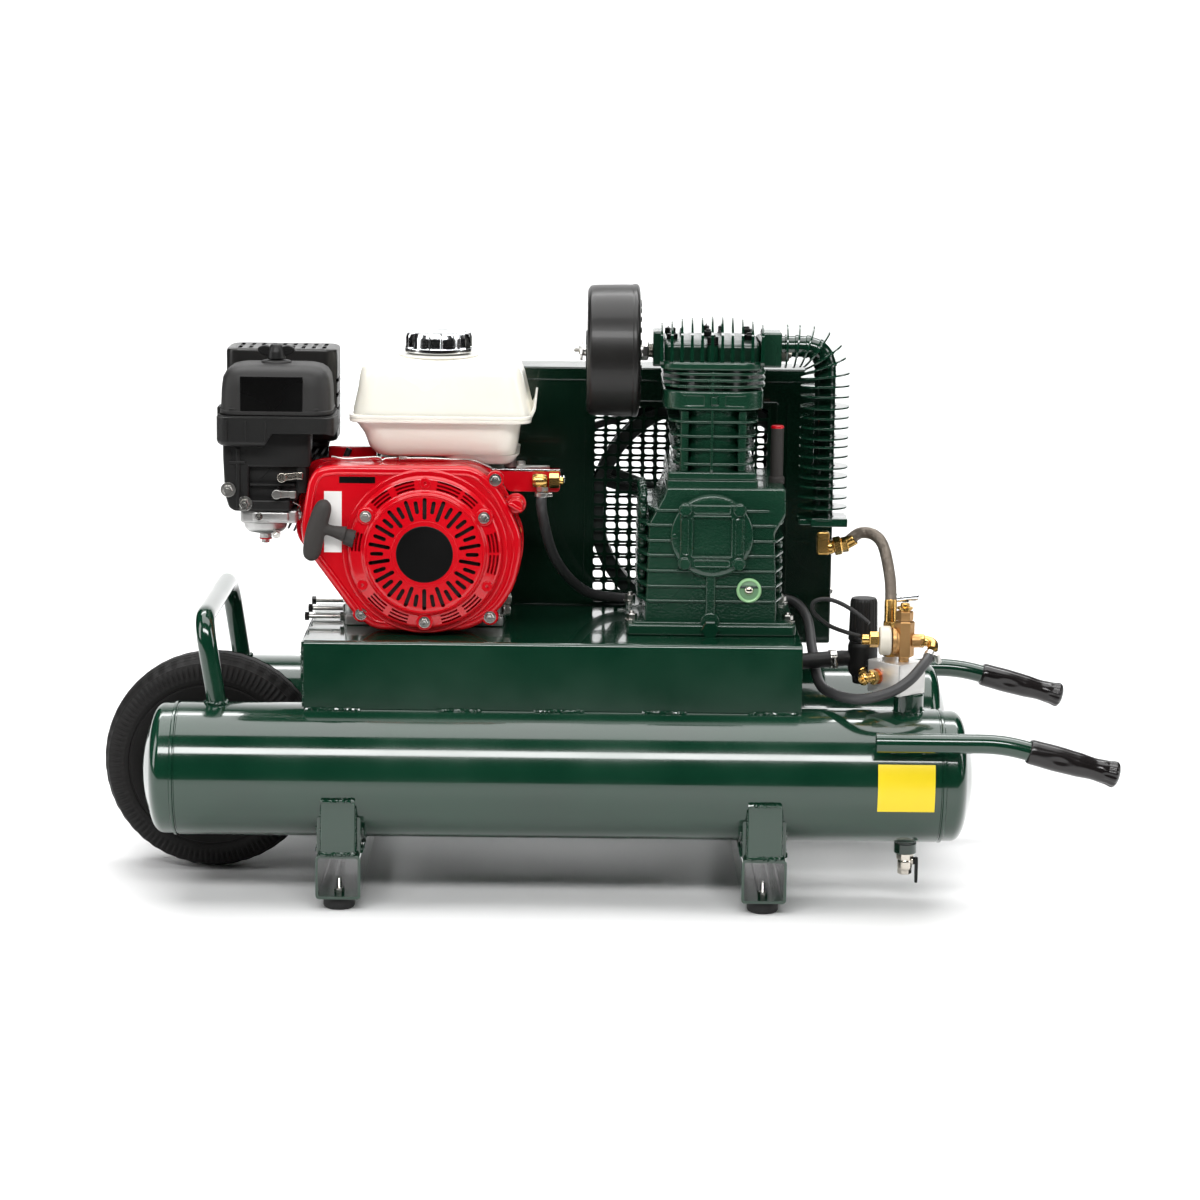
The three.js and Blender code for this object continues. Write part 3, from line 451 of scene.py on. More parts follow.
def fused(shape, voxel, rounds):
    """Pieces of one moulding grown into each other: a voxel remesh, then smoothing."""
    blob = bpy.data.objects.new("fuse", mesh_of(shape, "fuse"))
    bpy.context.scene.collection.objects.link(blob)
    remesh = blob.modifiers.new("remesh", "REMESH")
    remesh.mode = "VOXEL"
    remesh.voxel_size = voxel * MM
    ease = blob.modifiers.new("smooth", "SMOOTH")
    ease.iterations = rounds
    shape = modified_shape(blob)
    scrap(blob)
    return shape


def piece(name, shapes, finish, body="frame", replaces=(), sharp=38.0):
    """One named object riding on a body, with its material and smooth shading between sharp edges."""
    mesh = mesh_of(merged(shapes), name)
    for face in mesh.polygons:
        face.use_smooth = True
    mesh.set_sharp_from_angle(angle=math.radians(sharp))
    obj = bpy.data.objects.new(name, mesh)
    bpy.context.scene.collection.objects.link(obj)
    even = obj.modifiers.new("even", "WEIGHTED_NORMAL")
    even.keep_sharp = True
    mesh.materials.append(FINISHES[finish])
    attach(obj, body)
    if replaces:
        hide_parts(*replaces)
    return obj


# ------------------------------------------------------------------ materials
def surface(
    name, color, roughness, metallic=0.0, coat=0.0, tint=0.12, patch=9.0, grain=700.0, bump=0.03, depth=0.0004,
    spread=0.06, specks=0.0, stretch=(1, 1, 1), cells=0.0, shine=0.5,
):
    """Principled surface: drifting tint, uneven roughness, fine relief and optional light specks."""
    material = bpy.data.materials.new(name)
    material.use_nodes = True
    tree = material.node_tree
    shader = tree.nodes["Principled BSDF"]
    link = tree.links.new

    def node(kind, **values):
        n = tree.nodes.new("ShaderNode" + kind)
        for key, value in values.items():
            n.inputs[key].default_value = value
        return n

    place = node("Mapping", Scale=stretch)
    link(tree.nodes.new("ShaderNodeTexCoord").outputs["Object"], place.inputs["Vector"])
    broad = node("TexNoise", Scale=patch, Detail=3.0)
    link(place.outputs["Vector"], broad.inputs["Vector"])
    ramp = tree.nodes.new("ShaderNodeValToRGB")
    ramp.color_ramp.elements[0].position = 0.35
    ramp.color_ramp.elements[1].position = 0.65
    ramp.color_ramp.elements[0].color = (*[c * (1 - tint) for c in color], 1)
    ramp.color_ramp.elements[1].color = (*[min(1.0, c * (1 + tint)) for c in color], 1)
    link(broad.outputs["Fac"], ramp.inputs["Fac"])
    shade = ramp.outputs["Color"]
    if specks:
        dust = node("TexNoise", Scale=grain * 0.8, Detail=1.0)
        link(place.outputs["Vector"], dust.inputs["Vector"])
        pick = node("MapRange", **{"From Min": 0.66, "From Max": 0.74, "To Max": specks})
        link(dust.outputs["Fac"], pick.inputs["Value"])
        mix = tree.nodes.new("ShaderNodeMix")
        mix.data_type = "RGBA"
        mix.inputs[7].default_value = (*[min(1.0, c * 2.2 + 0.02) for c in color], 1)
        link(pick.outputs["Result"], mix.inputs[0])
        link(shade, mix.inputs[6])
        shade = mix.outputs[2]
    link(shade, shader.inputs["Base Color"])
    if cells:
        fine = node("TexVoronoi", Scale=cells)
        height = fine.outputs["Distance"]
    else:
        fine = node("TexNoise", Scale=grain, Detail=4.0)
        height = fine.outputs["Fac"]
    link(place.outputs["Vector"], fine.inputs["Vector"])
    uneven = node("MapRange", **{"From Min": 0.3, "From Max": 0.7})
    uneven.inputs["To Min"].default_value = max(0.02, roughness - spread)
    uneven.inputs["To Max"].default_value = roughness + spread
    link(broad.outputs["Fac"], uneven.inputs["Value"])
    link(uneven.outputs["Result"], shader.inputs["Roughness"])
    relief = node("Bump", Strength=bump, Distance=depth)
    link(height, relief.inputs["Height"])
    link(relief.outputs["Normal"], shader.inputs["Normal"])
    shader.inputs["Metallic"].default_value = metallic
    shader.inputs["Specular IOR Level"].default_value = shine
    shader.inputs["Coat Weight"].default_value = coat
    shader.inputs["Coat Roughness"].default_value = 0.04
    return material


GREEN = (0.0035, 0.031, 0.0155)
FINISHES = {
    "green": surface("green_gloss_paint", GREEN, 0.16, coat=0.7, grain=260, bump=0.05, depth=0.0003),
    "cast": surface(
        "green_paint_on_casting", (
            0.004, 0.034, 0.017
        ), 0.26, coat=0.45, bump=0.35, depth=0.0006, grain=420, cells=330
    ),
    "red": surface(
        "red_gloss_paint", (0.52, 0.0016, 0.0075), 0.2, coat=0.4, shine=0.35, grain=300, bump=0.04, tint=0.06
    ),
    "black": surface(
        "black_moulded_plastic", (0.008, 0.008, 0.0078), 0.46, grain=1500, bump=0.25, specks=0.15, shine=0.32
    ),
    "cover": surface(
        "grey_moulded_plastic", (0.020, 0.0195, 0.019), 0.55, grain=1900, bump=0.35, specks=0.2, shine=0.3
    ),
    "pull": surface(
        "dark_grey_rubbery_plastic", (0.032, 0.029, 0.027), 0.62, grain=1600, bump=0.3, tint=0.08, shine=0.3
    ),
    "badge": surface("black_gloss_plate", (0.003, 0.003, 0.003), 0.3, grain=300, bump=0.0, shine=0.2),
    "grip": surface("gloss_black_grip", (0.010, 0.0085, 0.0085), 0.2, grain=800, bump=0.06, spread=0.08),
    "rubber": surface(
        "hose_rubber", (0.010, 0.010, 0.010), 0.5, grain=1300, bump=0.3, tint=0.2, spread=0.12, shine=0.35
    ),
    "hose": surface(
        "grey_hose_rubber", (0.040, 0.040, 0.041), 0.42, shine=0.4, grain=1100, bump=0.25, tint=0.16, spread=0.1
    ),
    "tyre": surface(
        "tyre_rubber", (0.0085, 0.008, 0.0078), 0.62, grain=900, bump=0.4, tint=0.25, specks=0.2, shine=0.22
    ),
    "steel": surface("zinc_plated_steel", (0.6, 0.59, 0.56), 0.3, 1.0, grain=900, bump=0.15, spread=0.1),
    "turned": surface("turned_steel", (0.5, 0.5, 0.5), 0.28, 1.0, grain=500, bump=0.2, stretch=(1, 6, 1)),
    "braid": surface("steel_braid", (0.21, 0.18, 0.15), 0.45, 0.9, grain=1500, bump=0.3, spread=0.1),
    "satin": surface("satin_black_steel", (0.009, 0.0085, 0.008), 0.36, coat=0.1, grain=1200, bump=0.15, shine=0.35),
    "heat": surface("matt_black_steel", (0.022, 0.022, 0.022), 0.7, grain=900, bump=0.35, specks=0.3, tint=0.25),
    "iron": surface("painted_dark_iron", (0.008, 0.014, 0.011), 0.42, grain=500, bump=0.4, depth=0.0006),
    "alloy": surface("cast_aluminium", (0.55, 0.55, 0.54), 0.42, 0.85, grain=900, bump=0.5, tint=0.14, spread=0.12),
    "mill": surface("milled_aluminium", (0.72, 0.71, 0.69), 0.34, 0.7, grain=420, bump=0.2, stretch=(1, 1, 7)),
    "brass": surface("brass", (0.68, 0.42, 0.13), 0.26, 1.0, grain=600, bump=0.15, tint=0.16, spread=0.1),
    "bronze": surface("dull_brass", (0.50, 0.29, 0.12), 0.4, 0.95, grain=500, bump=0.3, tint=0.14, spread=0.1),
    "copper": surface("copper_washer", (0.62, 0.19, 0.09), 0.35, 1.0, grain=700, bump=0.2),
    "nickel": surface("nickel_plate", (0.66, 0.61, 0.54), 0.24, 1.0, grain=600, bump=0.1, spread=0.08),
    "chrome": surface("chrome_plate", (0.82, 0.83, 0.84), 0.15, 1.0, grain=500, bump=0.02, tint=0.03, spread=0.03),
    "cream": surface("cream_gloss_plastic", (0.80, 0.775, 0.69), 0.24, coat=0.2, grain=500, bump=0.05, tint=0.025),
    "nylon": surface("white_nylon", (0.62, 0.58, 0.49), 0.4, grain=800, bump=0.1, tint=0.05),
    "glass": surface("green_sight_glass", (0.16, 0.30, 0.17), 0.16, coat=0.4, grain=400, bump=0.03, tint=0.2),
    # Darker copy of the green paint for the pump head's fins: painted shade, standing for the shade between the
    # close-set fins
    "fins": surface(
        "green_paint_darkened_for_fin_shade", (0.0025, 0.022, 0.011), 0.1, coat=0.8, grain=200, bump=0.02, depth=0.0002, spread=0.03
    ),
    # Darker copy of the green paint for the belt guard sheet: painted shade, making the guard's front face darker
    # than the same paint elsewhere
    "panel": surface(
        "green_paint_darkened_for_guard_shade", (0.002, 0.013, 0.0065), 0.2, coat=0.3, shine=0.4, grain=260, bump=0.05, depth=0.0003
    ),
    "ring": surface("pale_green_ring", (0.30, 0.55, 0.27), 0.2, coat=0.3, grain=300, bump=0.0, tint=0.05),
    "paper": surface("blank_label", (0.78, 0.77, 0.75), 0.4, grain=600, bump=0.02, tint=0.02),
    "yellow": surface("yellow_label", (0.82, 0.62, 0.01), 0.35, grain=600, bump=0.02, tint=0.03),
    "wire": surface("orange_wire", (0.55, 0.12, 0.02), 0.4, grain=900, bump=0.1),
}
cream = FINISHES["cream"].node_tree.nodes["Principled BSDF"]
cream.inputs["Subsurface Weight"].default_value = 0.35
cream.inputs["Subsurface Radius"].default_value = (1.0, 0.95, 0.85)
cream.inputs["Subsurface Scale"].default_value = 0.02
SLOT_OF = {
    "green": "green_paint", "cast": "cast_green", "red": "red_paint", "black": "black_plastic",
    "cover": "black_plastic",
    "pull": "black_plastic", "badge": "black_plastic", "grip": "grip_plastic", "rubber": "rubber", "hose": "rubber",
    "tyre": "tyre", "steel": "steel", "turned": "steel", "braid": "steel", "satin": "black_steel",
    "heat": "black_steel",
    "iron": "iron", "alloy": "alloy", "mill": "alloy", "brass": "brass", "copper": "brass", "nickel": "chrome",
    "chrome": "chrome", "cream": "cream_plastic", "nylon": "cream_plastic", "glass": "cast_green",
    "fins": "green_paint", "panel": "green_paint", "ring": "cast_green", "paper": "cream_plastic",
    "yellow": "cream_plastic", "wire": "rubber", "bronze": "brass",
}


# ------------------------------------------------------------------ tanks and chassis
def head_profile(r, crown=150.0, flat=56.0, knuckle=25.0):
    """Dished tank head: a crown, then a knuckle, as (radius, depth)."""
    rise = [(flat * i / 7, crown - math.sqrt(crown**2 - (flat * i / 7) ** 2)) for i in range(8)]
    start = Vector(rise[-1])
    end = Vector((r, knuckle + 1))
    bend = Vector((r - 0.5, start.y + 4.5))
    rise += [tuple(start * (1 - t) ** 2 + bend * 2 * t * (1 - t) + end * t * t) for t in (i / 8 for i in range(1, 9))]
    return rise


def tank_shell(side):
    """Barrel with a dished head at each end, joined by raised seams."""
    length = TANK_BOX.x1 - TANK_BOX.x0
    end = head_profile(TANK_R - 1.4)
    lip = [
        (TANK_R - 1.4, SEAM - 2.4),
        (TANK_R + 0.5, SEAM - 1.4),
        (TANK_R + 0.9, SEAM),
        (TANK_R + 0.5, SEAM + 1.4),
        (TANK_R - 1.0, SEAM + 2.2),
        (TANK_R - 1.0, SEAM + 3.2),
        (TANK_R, SEAM + 4.0),
    ]
    half = end + lip
    profile = half + [(r, length - h) for r, h in reversed(half)]
    return lathe(profile, (TANK_BOX.x0, side * TANK_Y, TANK_Z), (1, 0, 0), 112)


def axle_bracket(side):
    """Welded angle that carries one end of the wheel's axle."""
    lo, hi = WHEEL_X - 22, WHEEL_X + 22
    plate = carve(
        slab(rectangle(lo, hi, WHEEL_Z - 24, WHEEL_Z + 34, 6), "xz", *sorted((side * 46.5, side * 51.5)), 0.8),
        [lathe([(0, -70), (8.3, -70), (8.3, 70), (0, 70)], (WHEEL_X, 0, WHEEL_Z), (0, 1, 0), 32)],
    )
    inner, outer = sorted((side * 51, side * (TANK_Y - math.sqrt(TANK_R**2 - 34**2) + 3)))
    webs = [block(x, x + 5, inner, outer, WHEEL_Z - 24, WHEEL_Z + 34, 1.2) for x in (lo, hi - 5)]
    beads = [
        weld([(x, side * (TANK_Y - math.sqrt(TANK_R**2 - z**2) - 1), TANK_Z + z) for z in range(-42, 14, 4)], 2.2)
        for x in (lo + 1, hi - 1)
    ]
    return merged([plate, *webs, *beads])


def air_tank(name, side):
    """Tank with its axle bracket; the near one carries the crossover pipe."""
    parts = [tank_shell(side), axle_bracket(side)]
    cross_x = 380
    edge = TANK_Y - TANK_R
    if side < 0:
        bar = [(cross_x, y, TANK_Z) for y in (-edge - 6, edge + 6)]
        parts += [tube(bar, 8, 28), hexagon((cross_x, -8, TANK_Z), (0, 1, 0), 22, 16)]
    parts.append(weld(ring_path((cross_x, side * (edge + 0.5), TANK_Z), (0, 1, 0), 9.5, 36), 2.4, closed=True))
    piece(f"{name}_air_tank", parts, "green", replaces=[f"{name}_tank"])


def deck():
    sheet = 3.2
    drop_front = TANK_Z + math.sqrt(TANK_R**2 - (TANK_Y + DECK.y0) ** 2) + 0.6
    drop_rear = TANK_Z + math.sqrt(TANK_R**2 - (TANK_Y - DECK.y1) ** 2) + 0.6
    y0, y1, top = DECK.y0, DECK.y1, DECK.z1
    outer = fillet([(y0, drop_front), (y0, top), (y1, top), (y1, drop_rear)], 6, 5)
    inner = fillet(
        [
            (y1 - sheet, drop_rear), (y1 - sheet, top - sheet), (y0 + sheet, top - sheet), (y0 + sheet, drop_front)
        ], 3, 4
    )
    left = DECK.x0 + sheet
    channel = slab(outer + inner, "yz", left, DECK.x1, 0.5, 1)
    plate = block(left - sheet, left + 0.3, y0 + 5, y1 - 5, top - 44, top - 2, 1.0)
    beads = [
        weld([(left - 1.5, y0 + 3, z) for z in (top - 44, top - 8)], 2.3),
        weld([(left - 1.5, y1 - 3, z) for z in (top - 44, top - 8)], 2.3),
        weld([(left - 0.5, y0 + 0.8, z) for z in (drop_front + 2, top - 46)], 1.6),
    ]
    for x, length in ((left + 3, 62), (left + 152, 50), (left + 262, 56), (left + 386, 48), (left + 506, 56)):
        for y, z in ((y0 - 1.2, drop_front - 0.6), (y1 + 1.2, drop_rear - 0.6)):
            beads.append(weld([(x, y, z), (x + length, y, z)], 2.7))
    piece("engine_deck_sheet", [channel, plate, *beads], "green", replaces=["engine_deck"])


def foot_beam(node):
    b = Span(node)
    size, wall = 50.8, 3.2
    x, z0 = b.x, b.z0
    outer = rectangle(x - size / 2, x + size / 2, z0, z0 + size, 5, 4)
    inner = rectangle(x - size / 2 + wall, x + size / 2 - wall, z0 + wall, z0 + size - wall, 2.4, 4)
    tool = slab(inner, "xz", b.y0 - 5, b.y1 + 5, 0)
    parts = [carve(slab(outer, "xz", b.y0, b.y1, 0.5, 1), [tool])]
    top = z0 + size
    seam = [(x - 4, y, z0 + wall + 0.4) for y in (b.y0 + 30, b.y1 - 30)]
    parts.append(tube(seam, 1.2, 8))
    for side in (-1, 1):
        out_y, in_y = side * (abs(b.y0) - 0.4), side * (abs(b.y0) - 12.8)
        y_lo, y_hi = sorted((out_y, in_y))
        tank = lathe(
            [(0, -60), (TANK_R + 0.4, -60), (TANK_R + 0.4, 60), (0, 60)], (x, side * TANK_Y, TANK_Z), (1, 0, 0), 96
        )
        post = block(x - 19.2, x + 19.2, y_lo, y_hi, top - 0.3, 128, 1.6)
        s_lo, s_hi = sorted((side * (abs(b.y0) - 12.4), side * (TANK_Y - 34)))
        saddle = block(x - 24.8, x + 24.8, s_lo, s_hi, top - 0.3, 112, 1.6)
        parts += [carve(post, [tank]), carve(saddle, [tank])]
        rim_z = TANK_Z - math.sqrt(max(1.0, TANK_R**2 - (abs(in_y) - TANK_Y) ** 2))
        parts.append(weld([(x - 18, out_y - side * 0.5, 127.2), (x + 18, out_y - side * 0.5, 127.6)], 2.6))
        parts.append(
            weld([(x - 18, out_y - side * 0.8, top + 1.5), (x + 18, out_y - side * 0.8, top + 1.5)], 3.2, 4.4)
        )
        for dx in (-1, 1):
            bead = [
                (x + dx * 25.2, side * s, TANK_Z - math.sqrt(TANK_R**2 - (s - TANK_Y) ** 2))
                for s in range(120, 200, 6)
            ]
            parts.append(weld(bead, 2.4))
            foot_line = [(x + dx * 25.0, side * s, top + 1) for s in (116, 204)]
            parts.append(weld(foot_line, 2.4))
        for px in (-1, 1):
            parts.append(
                weld([(x + px * 19.4, (y_lo + y_hi) / 2 - 3, z) for z in (top + 3, min(120, rim_z + 12))], 1.3)
            )
    piece(f"{node}_tube", parts, "green", replaces=[node])


def foot(node):
    """Rubber foot with the end of its screw and nut."""
    b = Span(node)
    r = (b.x1 - b.x0) / 2
    h = b.z1 - b.z0
    profile = [(0, 2.2), (6, 2.2), (7, 0), (r - 3, 0), (r - 0.6, 1.5), (r, 4), (r - 0.4, h - 2), (r - 1.2, h), (0, h)]
    body = revolve(profile, (b.x, b.y, b.z0), (0, 0, 1), 48, 0.8)
    piece(f"{node}_moulding", [body], "rubber", replaces=[node])
    stud = thread((b.x, b.y, b.z1 + 3.4), (0, 0, 1), 3.0, 17, 1.6)
    nut = hexagon((b.x, b.y, b.z1 + 3.6), (0, 0, 1), 10, 5)
    piece(f"{node}_screw", [stud, nut], "steel")


def lifting_loop():
    b = Span("lifting_loop")
    r = BAR_R
    top = b.z1 - r
    low = TANK_Z + TANK_R - 1
    foot_x, top_x = b.x1 - r, b.x0 + r
    route = [(foot_x, -TANK_Y, low), (top_x, -TANK_Y, top), (top_x, TANK_Y, top), (foot_x, TANK_Y, low)]
    bar = tube(resample(fillet(route, 34, 10), 5), r, 28)
    beads = [
        weld(ring_path((foot_x - 0.5, s * TANK_Y, low + 1.6), (0, 0, 1), r + 0.8, 40), 3.0, closed=True)
        for s in (-1, 1)
    ]
    piece("lifting_loop_tube", [bar, *beads], "green", replaces=["lifting_loop"])


HANDLE = {"z": 202.7, "bend": 451, "end": 571, "drop": 31.6, "grip": 480, "tip": 582}


def handle(name, side):
    tube_box = Span(f"{name}_handle_tube")
    r = BAR_R
    y, z = side * HANDLE_Y, HANDLE["z"]
    route = [(tube_box.x0, y, z), (HANDLE["bend"], y, z), (HANDLE["end"], y, z - HANDLE["drop"])]
    bar = pipe(resample(fillet(route, 24, 8), 6), r, 2.4, 28)
    lean = math.atan2(z - TANK_Z, HANDLE_Y - TANK_Y)
    parts = [bar]
    for x in (336, 372):
        reach = (TANK_R + 99 - r) / 2
        mid = (0, side * (TANK_Y + reach * math.cos(lean)), TANK_Z + reach * math.sin(lean))
        stub = block(x - 7, x + 7, mid[1] - 12, mid[1] + 12, mid[2] - 4, mid[2] + 4, 1.2)
        parts.append(turn(stub, side * lean, "X", (x, mid[1], mid[2])))
        low = (x, y, z - r)
        parts.append(
            weld([(x - 10, low[1] - side * 5, low[2] + 1.4), (x + 10, low[1] - side * 5, low[2] + 1.4)], 2.6)
        )
        on_tank = [
            (
                x + dx, side * (TANK_Y + (TANK_R + 0.6) * math.cos(lean - 0.03)),
                TANK_Z + (TANK_R + 0.6) * math.sin(lean - 0.03)
            )
            for dx in (-8, 8)
        ]
        parts.append(weld(on_tank, 2.6))
    piece(f"{name}_handle_bar", parts, "green", replaces=[f"{name}_handle_tube"])

    slope = HANDLE["drop"] / (HANDLE["end"] - HANDLE["bend"])
    start = Vector((HANDLE["grip"], y, z - (HANDLE["grip"] - HANDLE["bend"]) * slope))
    axis = Vector((1, 0, -slope)).normalized()
    length = (HANDLE["tip"] - HANDLE["grip"]) / axis.x
    across = Vector((0, 1, 0))
    up = axis.cross(across).normalized() * -1
    radius_along = (
        (0, 12.6), (0.02, 14.0), (0.06, 14.2), (0.3, 14.6), (0.52, 14.0), (0.72, 12.6), (0.86, 13.6), (0.95, 15.2)
    )

    def radius(t):
        for (t0, r0), (t1, r1) in zip(radius_along, radius_along[1:]):
            if t <= t1:
                s = (t - t0) / (t1 - t0)
                return r0 + (r1 - r0) * s * s * (3 - 2 * s)
        return 15.2 * math.sqrt(max(0.0, 1 - ((t - 0.95) / 0.052) ** 2 * 0.75))

    rings = []
    for i in range(73):
        t = i / 72
        ring = []
        for k in range(72):
            a = 2 * math.pi * k / 72
            rr = radius(t)
            hollow = math.exp(-(((t - 0.33) / 0.13) ** 2)) * max(0.0, math.cos(2 * a)) ** 3
            rr -= 2.3 * hollow * (abs(math.cos(a)) > 0.7)
            if t > 0.8:
                rr -= 0.9 * (0.5 + 0.5 * math.cos(12 * a)) ** 2 * min(1.0, (t - 0.8) / 0.06)
            ring.append(start + axis * length * t + (across * math.cos(a) + up * math.sin(a)) * rr)
        rings.append(ring)
    piece(f"{name}_hand_grip", [loft(rings)], "grip", replaces=[f"{name}_grip"], sharp=60)


def wheel():
    b = Span("wheel_tyre")
    r = (b.z1 - b.z0) / 2
    centre = Vector((WHEEL_X, 0, WHEEL_Z))
    bead_r = 66.6  # where the tyre meets its rim
    columns = 432
    zig = 48
    notches = 108
    # (lateral place, radius, kind): the section from one bead over the tread to the other
    side_rows = [
        (-27, bead_r, ""), (-30, 72, ""), (-35, 79, ""), (-39.5, 88, ""), (-41, 93.6, ""), (-39.8, 94.6, ""), (
            -39.8, 96.2, ""
        ),
        (-41.4, 97.2, ""), (-42.8, 102, ""), (-43, 106.5, "n"), (-42.8, 107, "n"), (-41.6, 113, "n"), (
            -38.4, 118.6, "n"
        ),
        (-36.0, 120.6, ""),
    ]
    crown_rows = []
    for y in (-33, -25, -17, -9, 0, 9, 17, 25, 33):
        top = r - 7.4 * abs(y / 33) ** 2.2
        if y in (-33, 33):
            crown_rows.append((y, top, "z"))
        elif y % 2 == 0:
            crown_rows += [(y - 3.2, top, "z"), (y + 3.2, top, "z")]
        else:
            crown_rows += [
                (y - 1.5, top, "z"), (y - 0.9, top - 2.6, "z"), (y + 0.9, top - 2.6, "z"), (y + 1.5, top, "z")
            ]
    rows = side_rows + crown_rows + [(-y, q, kind) for y, q, kind in reversed(side_rows)]
    rings = []
    for i in range(columns):
        a = 2 * math.pi * i / columns
        saw = abs((i * zig / columns) % 1 - 0.5) * 4 - 1
        notch = 1 if (i * notches / columns) % 1 >= 0.5 else 0
        ring = []
        for y, q, kind in rows:
            yy = y + (1.6 * saw if kind == "z" else 0)
            if kind == "n":
                yy += (1.5 if y < 0 else -1.5) * notch
            ring.append(centre + Vector((q * math.cos(a), yy, q * math.sin(a))))
        ring.append(centre + Vector((bead_r * math.cos(a), 0, bead_r * math.sin(a))))
        rings.append(ring)
    piece("tyre", [loft(rings, loop=True)], "tyre", "wheel", ["wheel_tyre"], sharp=30)

    outline = [
        (8.4, -44), (18.5, -44), (18.5, -6), (26, -4), (50, -2), (55, -12), (56, -24), (60, -27), (65.8, -28), (
            65.8, -25.5
        ),
        (61, -23), (61, 23), (65.8, 25.5), (65.8, 28), (60, 27), (56, 24), (55, 12), (50, 2), (26, 4), (18.5, 6),
        (18.5, 44), (8.4, 44), (8.4, -44),
    ]
    disc = lathe(outline, (WHEEL_X, 0, WHEEL_Z), (0, 1, 0), 96)
    studs = []
    for side in (-1, 1):
        for k in range(5):
            a = 2 * math.pi * (k + 0.2) / 5
            spot = (WHEEL_X + 36 * math.cos(a), side * 3.2, WHEEL_Z + 36 * math.sin(a))
            studs.append(bolt(spot, (0, side, 0), 9, 5))
    piece("wheel_disc", [disc], "satin", "wheel", ["wheel_rim"])
    piece("wheel_disc_bolts", studs, "steel", "wheel")
    valve = tube([(WHEEL_X + 44, -3, WHEEL_Z + 40), (WHEEL_X + 41, -16, WHEEL_Z + 37)], 2.6, 14)
    piece("tyre_valve", [valve], "rubber", "wheel")


def axle():
    b = Span("wheel_axle")
    r = (b.x1 - b.x0) / 2
    rod = revolve([(0, 0), (r, 0), (r, b.y1 - b.y0), (0, b.y1 - b.y0)], (b.x, b.y0, b.z), (0, 1, 0), 32, 1.0)
    washers = [
        lathe([(r, 0), (13, 0), (13, 1.4), (r, 1.4), (r, 0)], (b.x, s * 51.7, b.z), (0, s, 0), 32) for s in (-1, 1)
    ]
    pins = [tube([(b.x - 12, s * 55.6, b.z), (b.x + 12, s * 55.6, b.z)], 1.3, 10) for s in (-1, 1)]
    piece("wheel_axle_pin", [rod, *washers, *pins], "turned", replaces=["wheel_axle"])


def chassis():
    for name, side in SIDES:
        air_tank(name, side)
        handle(name, side)
    deck()
    for end in ("wheel_end", "handle_end"):
        foot_beam(f"{end}_foot_beam")
        for name, _ in SIDES:
            foot(f"{end}_{name}_rubber_foot")
    lifting_loop()
    wheel()
    axle()


# ------------------------------------------------------------------ engine
def about_crank(points):
    """Points given from the crankshaft, in the frame."""
    return [(CRANK_X + u, CRANK_Z + v) for u, v in points]


def capsule(cx, cz, r0, r1, angle, width, y0, y1):
    """Slot cutter: a round-ended bar lying along a radius, between two radii."""
    half = width / 2
    outline = arc(r1 - half, 0, half, -math.pi / 2, math.pi / 2, 5) + arc(
        r0 + half, 0, half, math.pi / 2, 1.5 * math.pi, 5
    )
    c, s = math.cos(angle), math.sin(angle)
    return slab([(cx + u * c - v * s, cz + u * s + v * c) for u, v in outline], "xz", y0, y1, 0)


def arc_slot(cx, cz, r, a0, a1, width, y0, y1):
    """Slot cutter that follows a circle."""
    outer = arc(cx, cz, r + width / 2, a0, a1, 8)
    inner = arc(cx, cz, r - width / 2, a1, a0, 8)
    return slab(outer + inner, "xz", y0, y1, 0)


